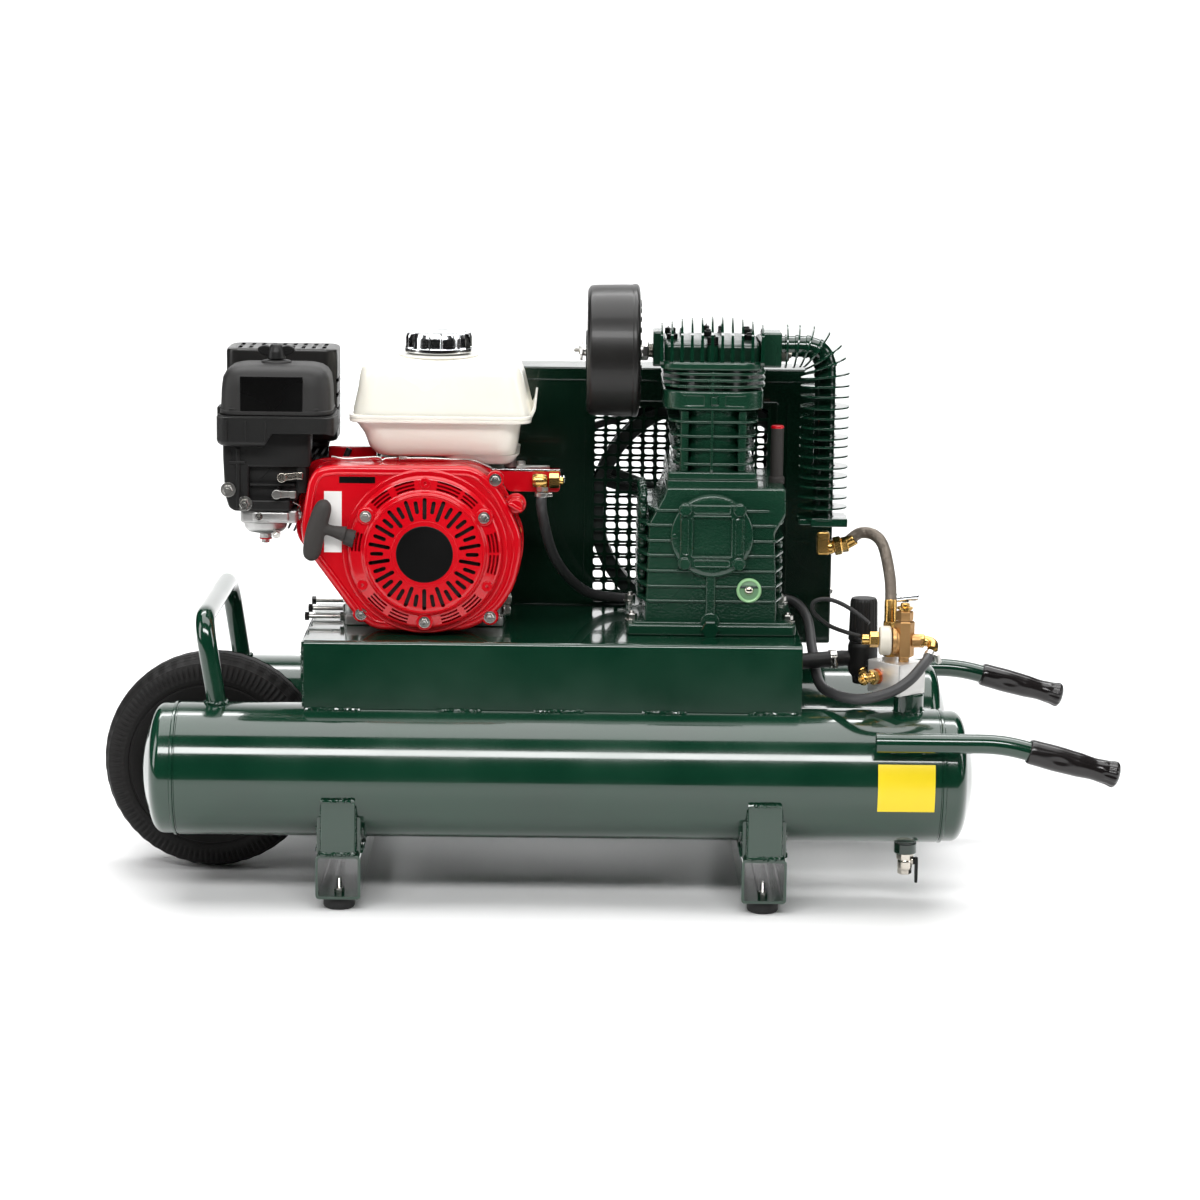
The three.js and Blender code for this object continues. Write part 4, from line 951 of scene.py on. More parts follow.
def engine_block():
    b = Span("engine_block")
    x0, x1 = CRANK_X - 82, CRANK_X + 86
    floor = b.z0
    parts = [
        block(x0 - 14, x1 + 2, b.y0, b.y1 - 2, floor, floor + 12, 2.5),
        block(x0, x1, -58, 72, floor + 10, 478, 5),
        block(x0 + 20, x1 - 14, -54, 66, 474, 486, 4),
    ]
    for h in range(330, 470, 20):
        parts.append(block(x1 - 1, x1 + 2.4, -46, 62, h, h + 3, 0.8))
    for y in (-46, 54):
        parts.append(lathe([(0, 0), (9, 0), (8, 14), (0, 14)], (x0 - 6, y, floor + 11), (0, 0, 1), 24))
    lean = 0.42
    hub = Vector((CRANK_X - 84, 12, 426))

    def leaning(length, width, height, d):
        at = hub + Vector((-math.cos(lean), 0, math.sin(lean))) * d
        shape = block(
            at.x - length / 2, at.x + length / 2, at.y - width / 2, at.y + width / 2, at.z - height / 2,
            at.z + height / 2,
            min(1.2, length * 0.3),
        )
        return turn(shape, lean, "Y", at)

    barrel = [leaning(94, 82, 76, 50)] + [leaning(2.4, 98, 96, 8 + 7.2 * i) for i in range(12)]
    keep = block(-420, CRANK_X - 80, -60, 90, 320, 496.5, 0.5)
    fins = [carve(s, [keep], "INTERSECT") for s in barrel]
    cover = [leaning(14, 74, 60, 103), leaning(3, 80, 66, 95.5)]
    piece("engine_crankcase", parts, "alloy", replaces=["engine_block"])
    piece("engine_cylinder", fins + cover, "heat")

    steel = [bolt((x0 - 6, y, floor + 25), (0, 0, 1), 12, 7, stud=6) for y in (-46, 54)]
    steel += [bolt((x1 - 4, y, floor + 12), (0, 0, 1), 12, 7, stud=6) for y in (-46, 54)]
    steel.append(bolt((x1 + 2, -48, 331), (1, 0, 0), 12, 7, washer=9))
    steel.append(bolt((x1 + 2, -48, 318), (1, 0, 0), 12, 6, washer=9))
    direction = Vector((-math.cos(lean), 0, math.sin(lean)))
    across = Vector((math.sin(lean), 0, math.cos(lean)))
    for dy, dz in ((-32, -24), (-32, 24), (32, -24), (32, 24)):
        at = hub + direction * 110 + across * dz + Vector((0, dy, 0))
        if at.z < 492:
            steel.append(bolt(at, direction, 8, 5))
    piece("engine_bolts", steel, "steel")

    pins = []
    for y in (-52, 2, 56):
        pins.append(tube([(x0 - 57, y, floor + 8.4), (x0 - 10, y, floor + 8.4)], 2.4, 14))
        pins.append(hexagon((x0 - 15, y, floor + 8.4), (-1, 0, 0), 9, 5))
    piece("belt_tension_studs", pins, "steel")
    caps = [hexagon((x0 - 56, y, floor + 8.4), (-1, 0, 0), 8.6, 5) for y in (-52, 2, 56)]
    piece("belt_tension_bolt_heads", caps, "satin")


HOUSING = [
    (-58, -92), (44, -92), (66, -83), (88, -64), (
        102.5, -38
    ), (109.5, -5), (109, 20), (98, 46), (86, 68), (70, 88), (52, 98),
    (-105, 98), (-124, 94), (-133, 80), (-138, 52), (-141, 26), (-140, 6), (-112, -32), (-80, -76),
]


ROPE_AXIS = (-0.97, 0, 0.243)  # the way the starter rope leaves its guide
FLARE = {5: 0, 11: 4, 12: 8, 13: 8, 14: 9, 15: 9.5, 16: 9, 17: 4}  # how far the rear rim stands out, by corner


def blower_housing():
    b = Span("blower_housing")
    front, back = b.y0, b.y1
    outline = about_crank(fillet(HOUSING, 11, 4, closed=True))
    rear = about_crank(fillet([(u - FLARE.get(i, 0), v) for i, (u, v) in enumerate(HOUSING)], 11, 4, closed=True))
    shell = carve(
        slab(outline, "xz", front, back - 18, 6, 4),
        [
            slab(outset(outline, -2.4), "xz", front + 2.4, back + 20, 4, 3),
            lathe([(0, -10), (76, -10), (76, 20), (0, 20)], (CRANK_X, front, CRANK_Z), (0, 1, 0), 64),
        ],
    )
    levels = [
        (outline, back - 20), (outline, back - 16), (rear, back), (outset(rear, -2.2), back),
        (outset(outline, -2.2), back - 15)
    ]
    skirt = loft(
        [[(u, y, v) for u, v in ring] for ring, y in levels + [(outset(outline, -2.2), back - 20)]], loop=True
    )
    lip = outset(outline, -9.5)
    parts = [
        shell,
        skirt,
        tube([(u, front + 0.3, v) for u, v in lip], 1.7, 10, closed=True),
        tube([(u, back - 1.6, v) for u, v in rear], 1.8, 10, closed=True),
        lathe(
            fillet([(85, 0), (95, 0), (93, -3.4), (87, -3.4)], 1.5, 3, True) + [(85, 0)],
            (CRANK_X, front + 1, CRANK_Z), (0, 1, 0), 96
        ),
    ]
    spots = ((-73, -73), (74, -75), (79, 83))
    for u, v in spots:
        ear = [(0, 0), (10, 0), (10, 6), (9, 8), (0, 8)]
        parts.append(lathe(ear, (CRANK_X + u, front + 9, CRANK_Z + v), (0, -1, 0), 28))
    parts.append(block(CRANK_X - 117, CRANK_X - 61, -31, -22, 440, 505, 3, 1.6))
    switch = Span("stop_switch_knob")
    parts.append(revolve([(0, 0), (12, 0), (12, 4), (9, 6), (0, 6)], (switch.x, -94, switch.z), (0, -1, 0), 36, 1))
    piece("blower_shroud", parts, "red", replaces=["blower_housing"])
    screws = [bolt((CRANK_X + u, front + 1.2, CRANK_Z + v), (0, -1, 0), 9, 4.6, washer=7) for u, v in spots]
    screws.append(revolve([(0, 0), (7, 0), (8, 10), (8, 28), (0, 28)], (switch.x, -66, switch.z), (0, -1, 0), 28, 1))
    piece("blower_shroud_bolts", screws, "steel")


def recoil_cover():
    b = Span("recoil_cover")
    front = b.y0
    centre = (CRANK_X, 0, CRANK_Z)
    outer = fillet([(0, front), (36, front), (64, front + 1.8), (69, front + 3.4), (71, front + 8.5),
        (85, front + 11.5),
                    (88, front + 15), (88, front + 21.7)], 1.6, 3)
    inner = [(85.4, front + 21.7), (85.4, front + 16), (83, front + 14), (69, front + 11), (66.6, front + 6),
        (62, front + 4.2),
             (36, front + 2.4), (0, front + 2.4)]
    shell = lathe(outer + inner, centre, (0, 1, 0), 120)
    tools = []
    for k in range(36):
        a = math.pi / 2 + 2 * math.pi * k / 36
        inside, outside = ((39.5, 64.5) if k % 2 == 0 else (46.5, 61.5))
        tools.append(capsule(CRANK_X, CRANK_Z, inside, outside, a, 4.6, front - 4, front + 16))
    groups = (
        (60, 80), (44, 57), (99, 115), (121, 137), (1, 17), (-17, -1), (-76, -60), (-55, -39), (-120, -104),
        (-141, -125), (163, 179)
    )
    for low, high in groups:
        for r in (74.5, 78.6, 82.7):
            tools.append(
                arc_slot(CRANK_X, CRANK_Z, r, math.radians(low), math.radians(high), 2.3, front + 2, front + 19)
            )
    parts = [carve(shell, tools)]
    for r in (37.2, 67.0):
        parts.append(lathe([(r - 1, 0), (r - 0.5, -0.7), (r + 0.5, -0.7), (r + 1, 0), (r, 0.8), (r - 1, 0)],
                           (CRANK_X, front + (0.5 if r < 50 else 2.4), CRANK_Z), (0, 1, 0), 96))
    bosses = []
    for angle, r in ((148, 79), (32, 79), (-90, 79)):
        a = math.radians(angle)
        spot = (CRANK_X + r * math.cos(a), front + 16, CRANK_Z + r * math.sin(a))
        parts.append(revolve([(0, 0), (11, 0), (9.5, 9), (0, 9)], spot, (0, -1, 0), 32, 1.2))
        bosses.append((spot[0], spot[1] - 9.2, spot[2]))
    for angle in (90, -28, -152):
        a = math.radians(angle)
        parts.append(
            revolve(
                [(1.6, 0), (7, 0), (6, 7.4), (1.6, 7.4), (1.6, 0)],
                (CRANK_X + 80 * math.cos(a), front + 16, CRANK_Z + 80 * math.sin(a)), (0, -1, 0), 24, 0.5
            )
        )
    guide_at = (CRANK_X - 80, -136, CRANK_Z + 15)
    piece("starter_cover", parts, "red", replaces=["recoil_cover"])
    guide = revolve([(3.5, 0), (10.4, 0), (9.8, 6), (8.8, 12), (3.5, 12), (3.5, 0)], guide_at, ROPE_AXIS, 28, 0.8)
    piece("starter_rope_guide", [guide], "pull")
    badge = revolve([(0, 0), (32.6, 0), (31.8, -0.9), (0, -1.1)], (CRANK_X, front + 0.2, CRANK_Z), (0, 1, 0), 72, 0.3)
    piece("starter_centre_plate", [badge], "badge")
    piece("starter_cover_bolts", [bolt(s, (0, -1, 0), 8.5, 4.4, washer=6.6) for s in bosses], "steel")
    reel = lathe(
        fillet([(14, 0), (62, 0), (64, 2), (64, 4), (40, 5), (40, 9), (14, 9)], 0.8, 2, True) + [(14, 0)],
        (CRANK_X, front + 7.5, CRANK_Z), (0, 1, 0), 72,
    )
    piece("starter_reel", [reel], "cover")


def recoil_handle():
    at = Vector((CRANK_X - 91, -140, CRANK_Z + 21))
    axis = Vector(ROPE_AXIS).normalized()
    top, bottom = Vector((-313, -140, 458)), Vector((-331, -140, 388))
    route = flowing([top, (-319, -140, 440), (-324.5, -140, 422), (-328, -140, 404), bottom], 8)
    bar = tube(
        route, lambda t: (9.6 + 1.2 * math.sin(math.pi * t)) * (max(0.04, 1 - abs(2 * t - 1) ** 7)) ** 0.5 + 0.4, 24
    )
    neck = tube(
        [at + axis * d for d in range(-1, 34, 2)],
        lambda t: 9.4 - 3.2 * math.sin(min(1, t * 1.6) * math.pi / 2) + 4.4 * max(0, t - 0.6) / 0.4, 24
    )
    piece("starter_handle", [fused(merged([bar, neck]), 1.0, 5)], "pull", "recoil_pull", ["recoil_handle"], sharp=80)
    rope = tube([at + axis * (d / 2 - 13) for d in range(0, 57)], 2.2, 12)
    cord = piece("starter_rope", [rope], "rubber")
    del cord["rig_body"]
    cord.parent = None
    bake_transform(cord)


def fan():
    b = Span("engine_fan")
    hub = lathe(
        fillet([(13.2, 0), (30, 0), (30, 13), (71, 17), (71, 20), (30, 42), (13.2, 42)], 1, 2, True) + [(13.2, 0)],
        (CRANK_X, b.y0, CRANK_Z), (0, 1, 0), 64,
    )
    blades = []
    for k in range(18):
        a = 2 * math.pi * k / 18
        c, s = math.cos(a), math.sin(a)
        line = [
            (CRANK_X + r * math.cos(a + bend), CRANK_Z + r * math.sin(a + bend))
            for r, bend in ((44, 0), (53, -0.06), (62, -0.16), (70, -0.3))
        ]
        normal = (-s, c)
        outline = [(u + normal[0], v + normal[1]) for u, v in line] + [
            (u - normal[0], v - normal[1])
            for u, v in reversed(line)
        ]
        blades.append(slab(outline, "xz", b.y0 + 4, b.y0 + 19, 0.3, 1))
    piece("cooling_fan", [hub, *blades], "alloy", "engine_rotor", ["engine_fan"])


def rounded_stack(x0, x1, y0, y1, sections, r=22, steps=7):
    """Moulding with upright sides: rounded rectangles at (height, inset) levels."""
    rings = []
    for section in sections:
        z, inset, *ends = section
        left, right = (ends + [0, 0])[:2]
        outline = rectangle(
            x0 + inset + left, x1 - inset - right, y0 + inset, y1 - inset, max(4, r - inset * 0.4), steps
        )
        rings.append([(u, v, z) for u, v in outline])
    return loft(rings)


def fuel_tank():
    b = Span("fuel_tank")
    lower = [(499.4, 20, 12, -6), (500.2, 14, 12, -5), (503, 9, 12, -3), (510, 6, 9, -1.5), (518, 4, 8, -1),
        (526, 2.5, 6.5, 0),
             (537, 0.5, 0.5, 0), (541, 0, 0, 0)]
    body = rounded_stack(b.x0 + 7, b.x1 - 18, -84, 60, lower, 28)
    sump = rounded_stack(-185, -100, -70, 50, [(489.8, 12), (490.6, 7), (493, 3), (497, 0), (502, -4)], 22)
    upper = [(548, 0), (555, 0.6, 0, 0.4), (578, 4, 1.6, 2.6), (592, 5.6, 2, 4.4), (601, 7.4, 2.4, 6.6),
        (606, 11.5, 3, 7),
             (608.8, 19, 3, 7), (610.6, 31, 2, 5), (611.4, 46, 0, 2), (611.7, 60)]
    shell = rounded_stack(b.x0 + 4, b.x1 - 6, -92, 62, upper, 30)
    right = b.x1 - 6
    seam = [(540.5, 1.4), (541.2, 0.3), (543.6, 0), (544.3, 0.9), (545.1, 0.9), (545.8, 0), (548.4, 0), (549.1, 1.2)]
    flange = rounded_stack(b.x0, right, b.y0, b.y1, seam, 24)
    curl = fillet([(right - 14, 541.5), (right - 1, 543), (right + 4.6, 555), (right + 6, 568.6), (right + 3.4, 569),
        (right + 1.4, 556),
                   (right - 4, 548.4), (right - 14, 548.4)], 2.6, 4, True)
    lip = slab(curl, "xz", b.y0 + 22, b.y1 - 22, 1.4, 3)
    cap = Span("fuel_cap")
    neck_profile = [(0, -12), (46.5, -12), (45, -7), (43.4, -4), (46, -2.6), (46, -1.0), (41, -0.3), (0, -0.3)]
    neck = revolve(neck_profile, (cap.x, cap.y, cap.z0 - 0.4), (0, 0, 1), 64, 1.2)
    piece("fuel_tank_moulding", [body, sump, shell, flange, lip, neck], "cream", replaces=["fuel_tank"], sharp=50)
    legs = []
    for x, y in ((b.x0 + 60, 30), (b.x0 + 40, 50), (b.x1 - 50, 50)):
        legs.append(block(x - 8, x + 8, y - 6, y + 6, 486, 502, 2))
    legs.append(revolve([(0, 0), (7, 0), (7, 42), (0, 42)], (b.x1 - 31, -34, 484), (0, 0, 1), 32, 1))
    piece("fuel_tank_brackets", legs, "alloy")


def fuel_cap():
    b = Span("fuel_cap")
    r = (b.x1 - b.x0) / 2
    height = b.z1 - b.z0

    def lobe(a, q, h):
        if q < r * 0.5 or h < 6.0:
            return q
        wave = 0.5 + 0.5 * math.cos(8 * a + 0.6)
        dent = max(0.0, min(1.0, (wave - 0.42) / 0.22))
        dent = dent * dent * (3 - 2 * dent)
        return q - 4.6 * dent * min(1.0, (h - 6.0) / 1.0) * (q / r)

    profile = fillet(
        [(0, 0), (r - 4, 0), (r, 1.6), (r, 6.2), (r - 0.6, 6.4), (r - 0.9, 7.6), (r - 1.0, 12), (r - 1.2, 18),
            (r - 3, 23.4),
         (r - 8, 25), (r - 13, 25.2), (r - 15, 24.4), (0, 24.8)], 0.9, 2
    )
    cap = lathe([(q, h) for q, h in profile if h <= height], (b.x, b.y, b.z0), (0, 0, 1), 160, lobe)
    piece("filler_cap", [cap], "chrome", "fuel_filler_cap", ["fuel_cap"], sharp=32)


def air_cleaner():
    base, cover, knob = Span("air_cleaner_base"), Span("air_cleaner_cover"), Span("air_cleaner_knob")
    split, low = cover.z0, 514.0
    levels = [
        (low, 8), (low + 0.8, 4), (low + 3, 1.4), (low + 7, 0), (split - 3, 0), (split - 2.2, 1.2), (split - 1, 1.4)
    ]
    band = rounded_stack(base.x0, base.x1 + 2, base.y0, base.y1, levels, 18)
    step = [(-385.7, low - 8), (-385.7, low), (-375.4, 529.8), (-315, 529.8), (-290, 521), (-290, low - 8)]
    band = carve(band, [slab(step, "xz", base.y0 - 8, base.y1 + 8, 0)])
    ribs = [
        block(base.x0 + 12 + 22 * k, base.x0 + 14 + 22 * k, base.y0 - 0.8, base.y0 + 4, low + 6, split - 6, 0.6)
        for k in range(3)
    ]
    front, back = -94.0, -42.0
    core = slab(
        fillet(
            [(-433, 531), (-431, 456), (-427, 441), (-420, 437), (-358, 437), (-346, 455), (-338, 472), (-334, 531)],
            4, 3, True
        ),
        "xz", front + 10, back, 4, 4,
    )
    border = [
        slab(fillet([(-434, 531), (-434, 500), (-432, 456), (-427.4, 441), (-421, 437), (-404, 437), (-404, 531)], 3,
            3, True),
             "xz", front, front + 14, 3, 3),
        block(-410, -356, front, front + 14, 437, 451, 3),
        block(-410, -334, front, front + 14, 488, 531, 3),
        block(-350, -338, front + 2, front + 14, 458, 492, 3),
    ]
    shelf = [
        block(-404, -352, front + 2.5, front + 12, 466.4, 469, 0.8),
        block(-427, -408, front - 2.4, front + 4, 492, 495, 0.8),
        block(-372, -369.4, front + 3, front + 12, 452, 466, 0.8),
        block(-419, -414, front - 2.0, front + 4, 440, 510, 1.2),
    ]
    strap = block(base.x0 - 1.2, base.x0 + 8, base.y0 + 34, base.y0 + 62, low + 8, split + 6, 1.6)
    parts = [band, *ribs, core, *border, *shelf, strap]
    piece("air_cleaner_box", parts, "black", replaces=["air_cleaner_base"], sharp=45)
    top = cover.z1 - 3.4
    levels = [(split, 0.4), (split + 1, 0), (split + 4, 0), (split + 4.8, 1.0), (top - 26, 2), (top - 14, 3.6),
        (top - 7, 7.6),
              (top - 3, 13), (top - 0.8, 20), (top, 30)]
    dome = rounded_stack(cover.x0, cover.x1 + 2, cover.y0, cover.y1, levels, 26)
    pad = revolve([(0, -6), (19, -6), (17, 3), (13, 4), (0, 4)], (knob.x, knob.y, top - 1), (0, 0, 1), 40, 1.2)
    crease = [
        block(cover.x0 + 12, cover.x1 - 12, cover.y0 + 1.4, cover.y0 + 6, split + 6, split + 8, 0.8),
        block(cover.x1 - 34, cover.x1 - 31, cover.y0 + 2.2, cover.y0 + 8, split + 8, top - 18, 1),
    ]
    piece("air_cleaner_lid", [dome, pad, *crease], "cover", replaces=["air_cleaner_cover"], sharp=45)

    hub = revolve(
        [(0, 0), (11, 0), (10, 9), (8, 14), (6, 17), (0, 17.6)], (knob.x, knob.y, knob.z0 + 0.2), (0, 0, 1), 36, 1.4
    )
    wing = slab(
        fillet([(knob.x - 22, knob.z1 - 4), (knob.x - 20, knob.z0 + 7), (knob.x - 9, knob.z0 + 3),
            (knob.x + 9, knob.z0 + 3),
                (knob.x + 20, knob.z0 + 7), (knob.x + 22, knob.z1 - 4), (knob.x + 14, knob.z1), (knob.x, knob.z1 - 4),
                (knob.x - 14, knob.z1)], 3.4, 3, True),
        "xz", knob.y - 3.4, knob.y + 3.4, 1.4, 3,
    )
    piece("air_cleaner_wing_knob", [hub, wing], "black", "cleaner_knob", ["air_cleaner_knob"])
    lugs = [
        bolt((-428, front - 0.5, 462), (0, -1, 0), 10, 6, washer=8.6),
        bolt((-409, front - 0.5, 446), (0, -1, 0), 10, 6, washer=8.6),
        thread((-412, -80, 438), (0, 0, -1), 2.6, 12),
    ]
    piece("air_cleaner_bolts", lugs, "steel")


def blank_labels():
    """Plain stickers, with nothing printed on them."""
    lid, shroud = Span("air_cleaner_cover"), Span("blower_housing")
    piece("air_cleaner_label", [block(-412, -341, lid.y0 + 0.5, lid.y0 + 3.6, 554, 594, 1.4, 0.2)], "badge")
    piece("shroud_label", [block(-316, -296, shroud.y0 - 0.3, shroud.y0 + 0.4, 396, 466, 1.4, 0.2)], "paper")
    piece("shroud_small_label", [block(-299, -258, shroud.y0 - 0.3, shroud.y0 + 0.4, 475.5, 483, 1.4, 0.2)], "badge")
    outside = arc(-TANK_Y, TANK_Z, TANK_R + 0.45, math.radians(158.6), math.radians(200), 20)
    inside = arc(-TANK_Y, TANK_Z, TANK_R - 0.6, math.radians(200), math.radians(158.6), 20)
    piece("tank_label", [slab(outside + inside, "yz", 313, 377.5, 0)], "yellow")


def carburettor():
    b = Span("carburettor")
    cx, cy = b.x, b.y
    bowl_x = cx - 6
    parts = [
        block(b.x0, b.x1, b.y0, b.y1, b.z1 - 15, b.z1, 3),
        block(b.x0 + 14, b.x1 - 10, b.y0 - 3, b.y0 + 6, b.z1 - 12, b.z1 - 2, 2),
        revolve(
            [(0, 0), (7, 0), (7, 6), (21, 9), (24, 13), (25, 20), (25, 22), (0, 22)], (bowl_x, cy, b.z0), (0, 0, 1),
            56, 1.8
        ),
        lathe(ring_section(20, 26.5, 3, 0.8), (bowl_x, cy, b.z0 + 19), (0, 0, 1), 56),
        tube([(b.x1 - 6, cy, b.z1 - 8), (b.x1 + 12, cy, b.z1 - 8)], 7, 20),
    ]
    piece("carburettor_body", parts, "alloy", replaces=["carburettor"])
    seal = [lathe(ring_section(3, 7.4, 1.6, 0.5), (bowl_x, cy, b.z0 - 0.8), (0, 0, 1), 28)]
    piece("carburettor_seal", seal, "red")
    screws = [
        bolt((bowl_x, cy, b.z0 + 0.4), (0, 0, -1), 9, 4, washer=6),
        bolt((bowl_x + 14, b.y0 + 4, b.z0 + 8), (0.35, -0.9, -0.25), 7, 4, washer=5),
        bolt((b.x0 + 22, b.y0 - 2.4, b.z1 - 7), (0, -1, 0), 6, 3, washer=4.4),
        tube(
            flowing([(b.x1 - 4, cy - 12, b.z1 - 4), (b.x1 + 2, cy - 17, b.z1 + 4), (b.x1 - 6, cy - 19, b.z1 + 9)], 5),
            1.1, 8
        ),
    ]
    piece("carburettor_screws", screws, "steel")
    line = flowing(
        [
            (b.x1 + 4, cy + 14, b.z1 - 6), (b.x1 + 26, cy + 22, b.z1 + 14), (b.x1 + 44, cy + 24, b.z1 + 40),
            (b.x1 + 56, cy + 26, b.z1 + 66)
        ],
        6
    )
    piece("fuel_line", [tube(line, 3.6, 14)], "rubber")


def small_levers():
    choke, valve = Span("choke_lever"), Span("fuel_valve_lever")
    for b, body, node, finish in (
        (choke, "choke", "choke_lever", "nickel"), (valve, "fuel_valve", "fuel_valve_lever", "steel")
    ):
        eye_x = b.x0 + 5
        eye = revolve(
            [(0, 0), (5.4, 0), (5.4, b.y1 - b.y0), (0, b.y1 - b.y0)], (eye_x, b.y0, b.z), (0, 1, 0), 28, 0.8
        )
        end_z = b.z + (2.4 if body == "choke" else 0)
        blade = [(eye_x, b.z - 4), (b.x1 - 4, end_z - 3.4), (b.x1, end_z), (b.x1 - 4, end_z + 3.4), (eye_x, b.z + 4)]
        arm = slab(fillet(blade, 1.6, 3, True), "xz", b.y - 1.4, b.y + 1.0, 0.5)
        tip = slab(
            fillet(
                [(b.x1 - 7, end_z - 4), (b.x1, end_z - 4), (b.x1, end_z + 4), (b.x1 - 7, end_z + 4)], 1.8, 3, True
            ),
            "xz", b.y - 4.6, b.y + 1.2, 0.8
        )
        piece(f"{body}_lever_arm", [eye, arm, tip], finish, body, [node])


def muffler():
    b = Span("muffler")
    shell_x0 = b.x0 + 7
    shell = rounded_stack(
        shell_x0 + 4, b.x1 - 4, b.y0 + 4, b.y1 - 4,
        [(b.z0 + 4, 6), (b.z0 + 6, 2), (b.z0 + 10, 0), (b.z1 - 10, 0), (b.z1 - 6, 2), (b.z1 - 5, 6)], 16
    )
    guard = carve(
        rounded_stack(
            shell_x0, b.x1, b.y0, b.y1,
            [(b.z0, 4), (b.z0 + 1.4, 1), (b.z0 + 4, 0), (b.z1 - 4, 0), (b.z1 - 1.4, 1), (b.z1, 4)], 18
        ),
        [
            rounded_stack(
                shell_x0 + 1.4, b.x1 - 1.4, b.y0 + 1.4, b.y1 - 1.4,
                [(b.z0 + 1.4, 2), (b.z0 + 4, 0), (b.z1 - 4, 0), (b.z1 - 1.4, 2)], 17
            )
        ],
    )
    slots = []
    for k in range(9):
        x = shell_x0 + 16 + k * (b.x1 - shell_x0 - 32) / 8
        for y in (b.y0 + 22, b.y0 + 56):
            slots.append(block(x - 2.4, x + 2.4, y - 13, y + 13, b.z1 - 6, b.z1 + 4, 1.6, 0))
    for k in range(4):
        z = b.z0 + 20 + 17 * k
        for y in (b.y0 + 22, b.y0 + 56):
            slots.append(block(b.x1 - 6, b.x1 + 5, y - 13, y + 13, z - 2.6, z + 2.6, 0.2, 0))
            slots.append(block(shell_x0 - 5, shell_x0 + 6, y - 13, y + 13, z - 2.6, z + 2.6, 0.2, 0))
    for k in range(9):
        x = shell_x0 + 16 + k * (b.x1 - shell_x0 - 32) / 8
        slots.append(block(x - 2.4, x + 2.4, b.y1 - 6, b.y1 + 6, b.z0 + 16, b.z1 - 16, 0.2, 0))
    outlet = pipe([(b.x0, 48, b.z - 6), (shell_x0 + 8, 48, b.z - 6)], 9, 1.6, 28)
    piece("muffler_guard", [carve(guard, slots), outlet], "satin", replaces=["muffler"])
    exhaust = tube(flowing([(-330, 40, b.z0 + 8), (-334, 40, 492), (-330, 38, 478)], 6), 11, 24)
    piece("muffler_can", [shell, exhaust], "heat")


def throttle_bracket():
    b = Span("control_bracket")
    lever = Span("throttle_lever")
    face_y = -61.6
    face = fillet(
        [(-119, 479), (-112, 463), (-107, 459), (-51, 459), (-48.7, 462), (-48.7, 483), (-119, 483)], 2.2, 3, True
    )
    parts = [
        slab(face, "xz", face_y, face_y + 2.2, 0.5),
        block(-114, -48.6, -60, b.y1, 480, 482.4, 0.8),
        block(-119, -104, -60, -40, 476, 482, 1),
    ]
    piece("throttle_bracket_plate", parts, "red", replaces=["control_bracket"])
    lip = slab(rectangle(-144.6, -47.5, 482.9, 485.0, 0.7, 2), "xz", face_y - 1, -54, 0.4)
    curl = tube([(-46.8, face_y - 1, 482.2), (-46.8, -54, 482.2)], 1.9, 14)
    screw = [bolt((-48.6, -60.5, 474), (1, 0, 0), 7, 4, washer=5)]
    piece("throttle_bracket_trim", [lip, curl, *screw], "chrome")
    x, y, z = -69.0, -69.0, 473.0
    brass = [
        revolve([(0, 0), (6.5, 0), (8, 4), (8, 12), (6, 18), (0, 18)], (-81, y, z), (1, 0, 0), 32, 2.0),
        hexagon((-61.6, y, z), (1, 0, 0), 15, 12.4),
        revolve([(0, 0), (4.4, 0), (4.4, 5), (0, 5)], (-50, y, z), (1, 0, 0), 24, 0.6),
        revolve([(0, 0), (6.5, 0), (6.2, 12), (0, 12)], (x, y, z - 3), (0, 0, -1), 28, 1.0),
    ]
    piece("throttle_air_cylinder", brass, "brass")
    ring = lathe(ring_section(6, 8.8, 5, 0.7), (x, y, 454.6), (0, 0, 1), 32)
    ear = block(x + 6, x + 12, y - 5.5, y - 1.5, 455, 459.4, 0.8)
    piece("throttle_hose_clamp", [ring, ear, hexagon((x, y, 466), (0, 0, -1), 13, 5)], "steel")

    pivot = joint_point("throttle_swing")
    post = revolve(
        [(0, 0), (5.5, 0), (5.5, lever.z1 - lever.z0), (0, lever.z1 - lever.z0)],
        (pivot[0], pivot[1], lever.z0 + 0.3), (0, 0, 1), 28, 0.7
    )
    z1 = lever.z1 - 1.5
    blade = fillet([(pivot[0] - 6, pivot[1] - 6), (lever.x1 - 3, pivot[1] - 3.4), (lever.x1, pivot[1]),
        (lever.x1 - 3, pivot[1] + 3.4),
                    (pivot[0] - 6, pivot[1] + 6)], 2.4, 3, True)
    nut = hexagon((pivot[0], pivot[1], lever.z1 - 0.4), (0, 0, 1), 9, 4)
    piece("throttle_arm", [post, slab(blade, "xy", z1 - 2.4, z1, 0.5), nut], "steel", "throttle", ["throttle_lever"])


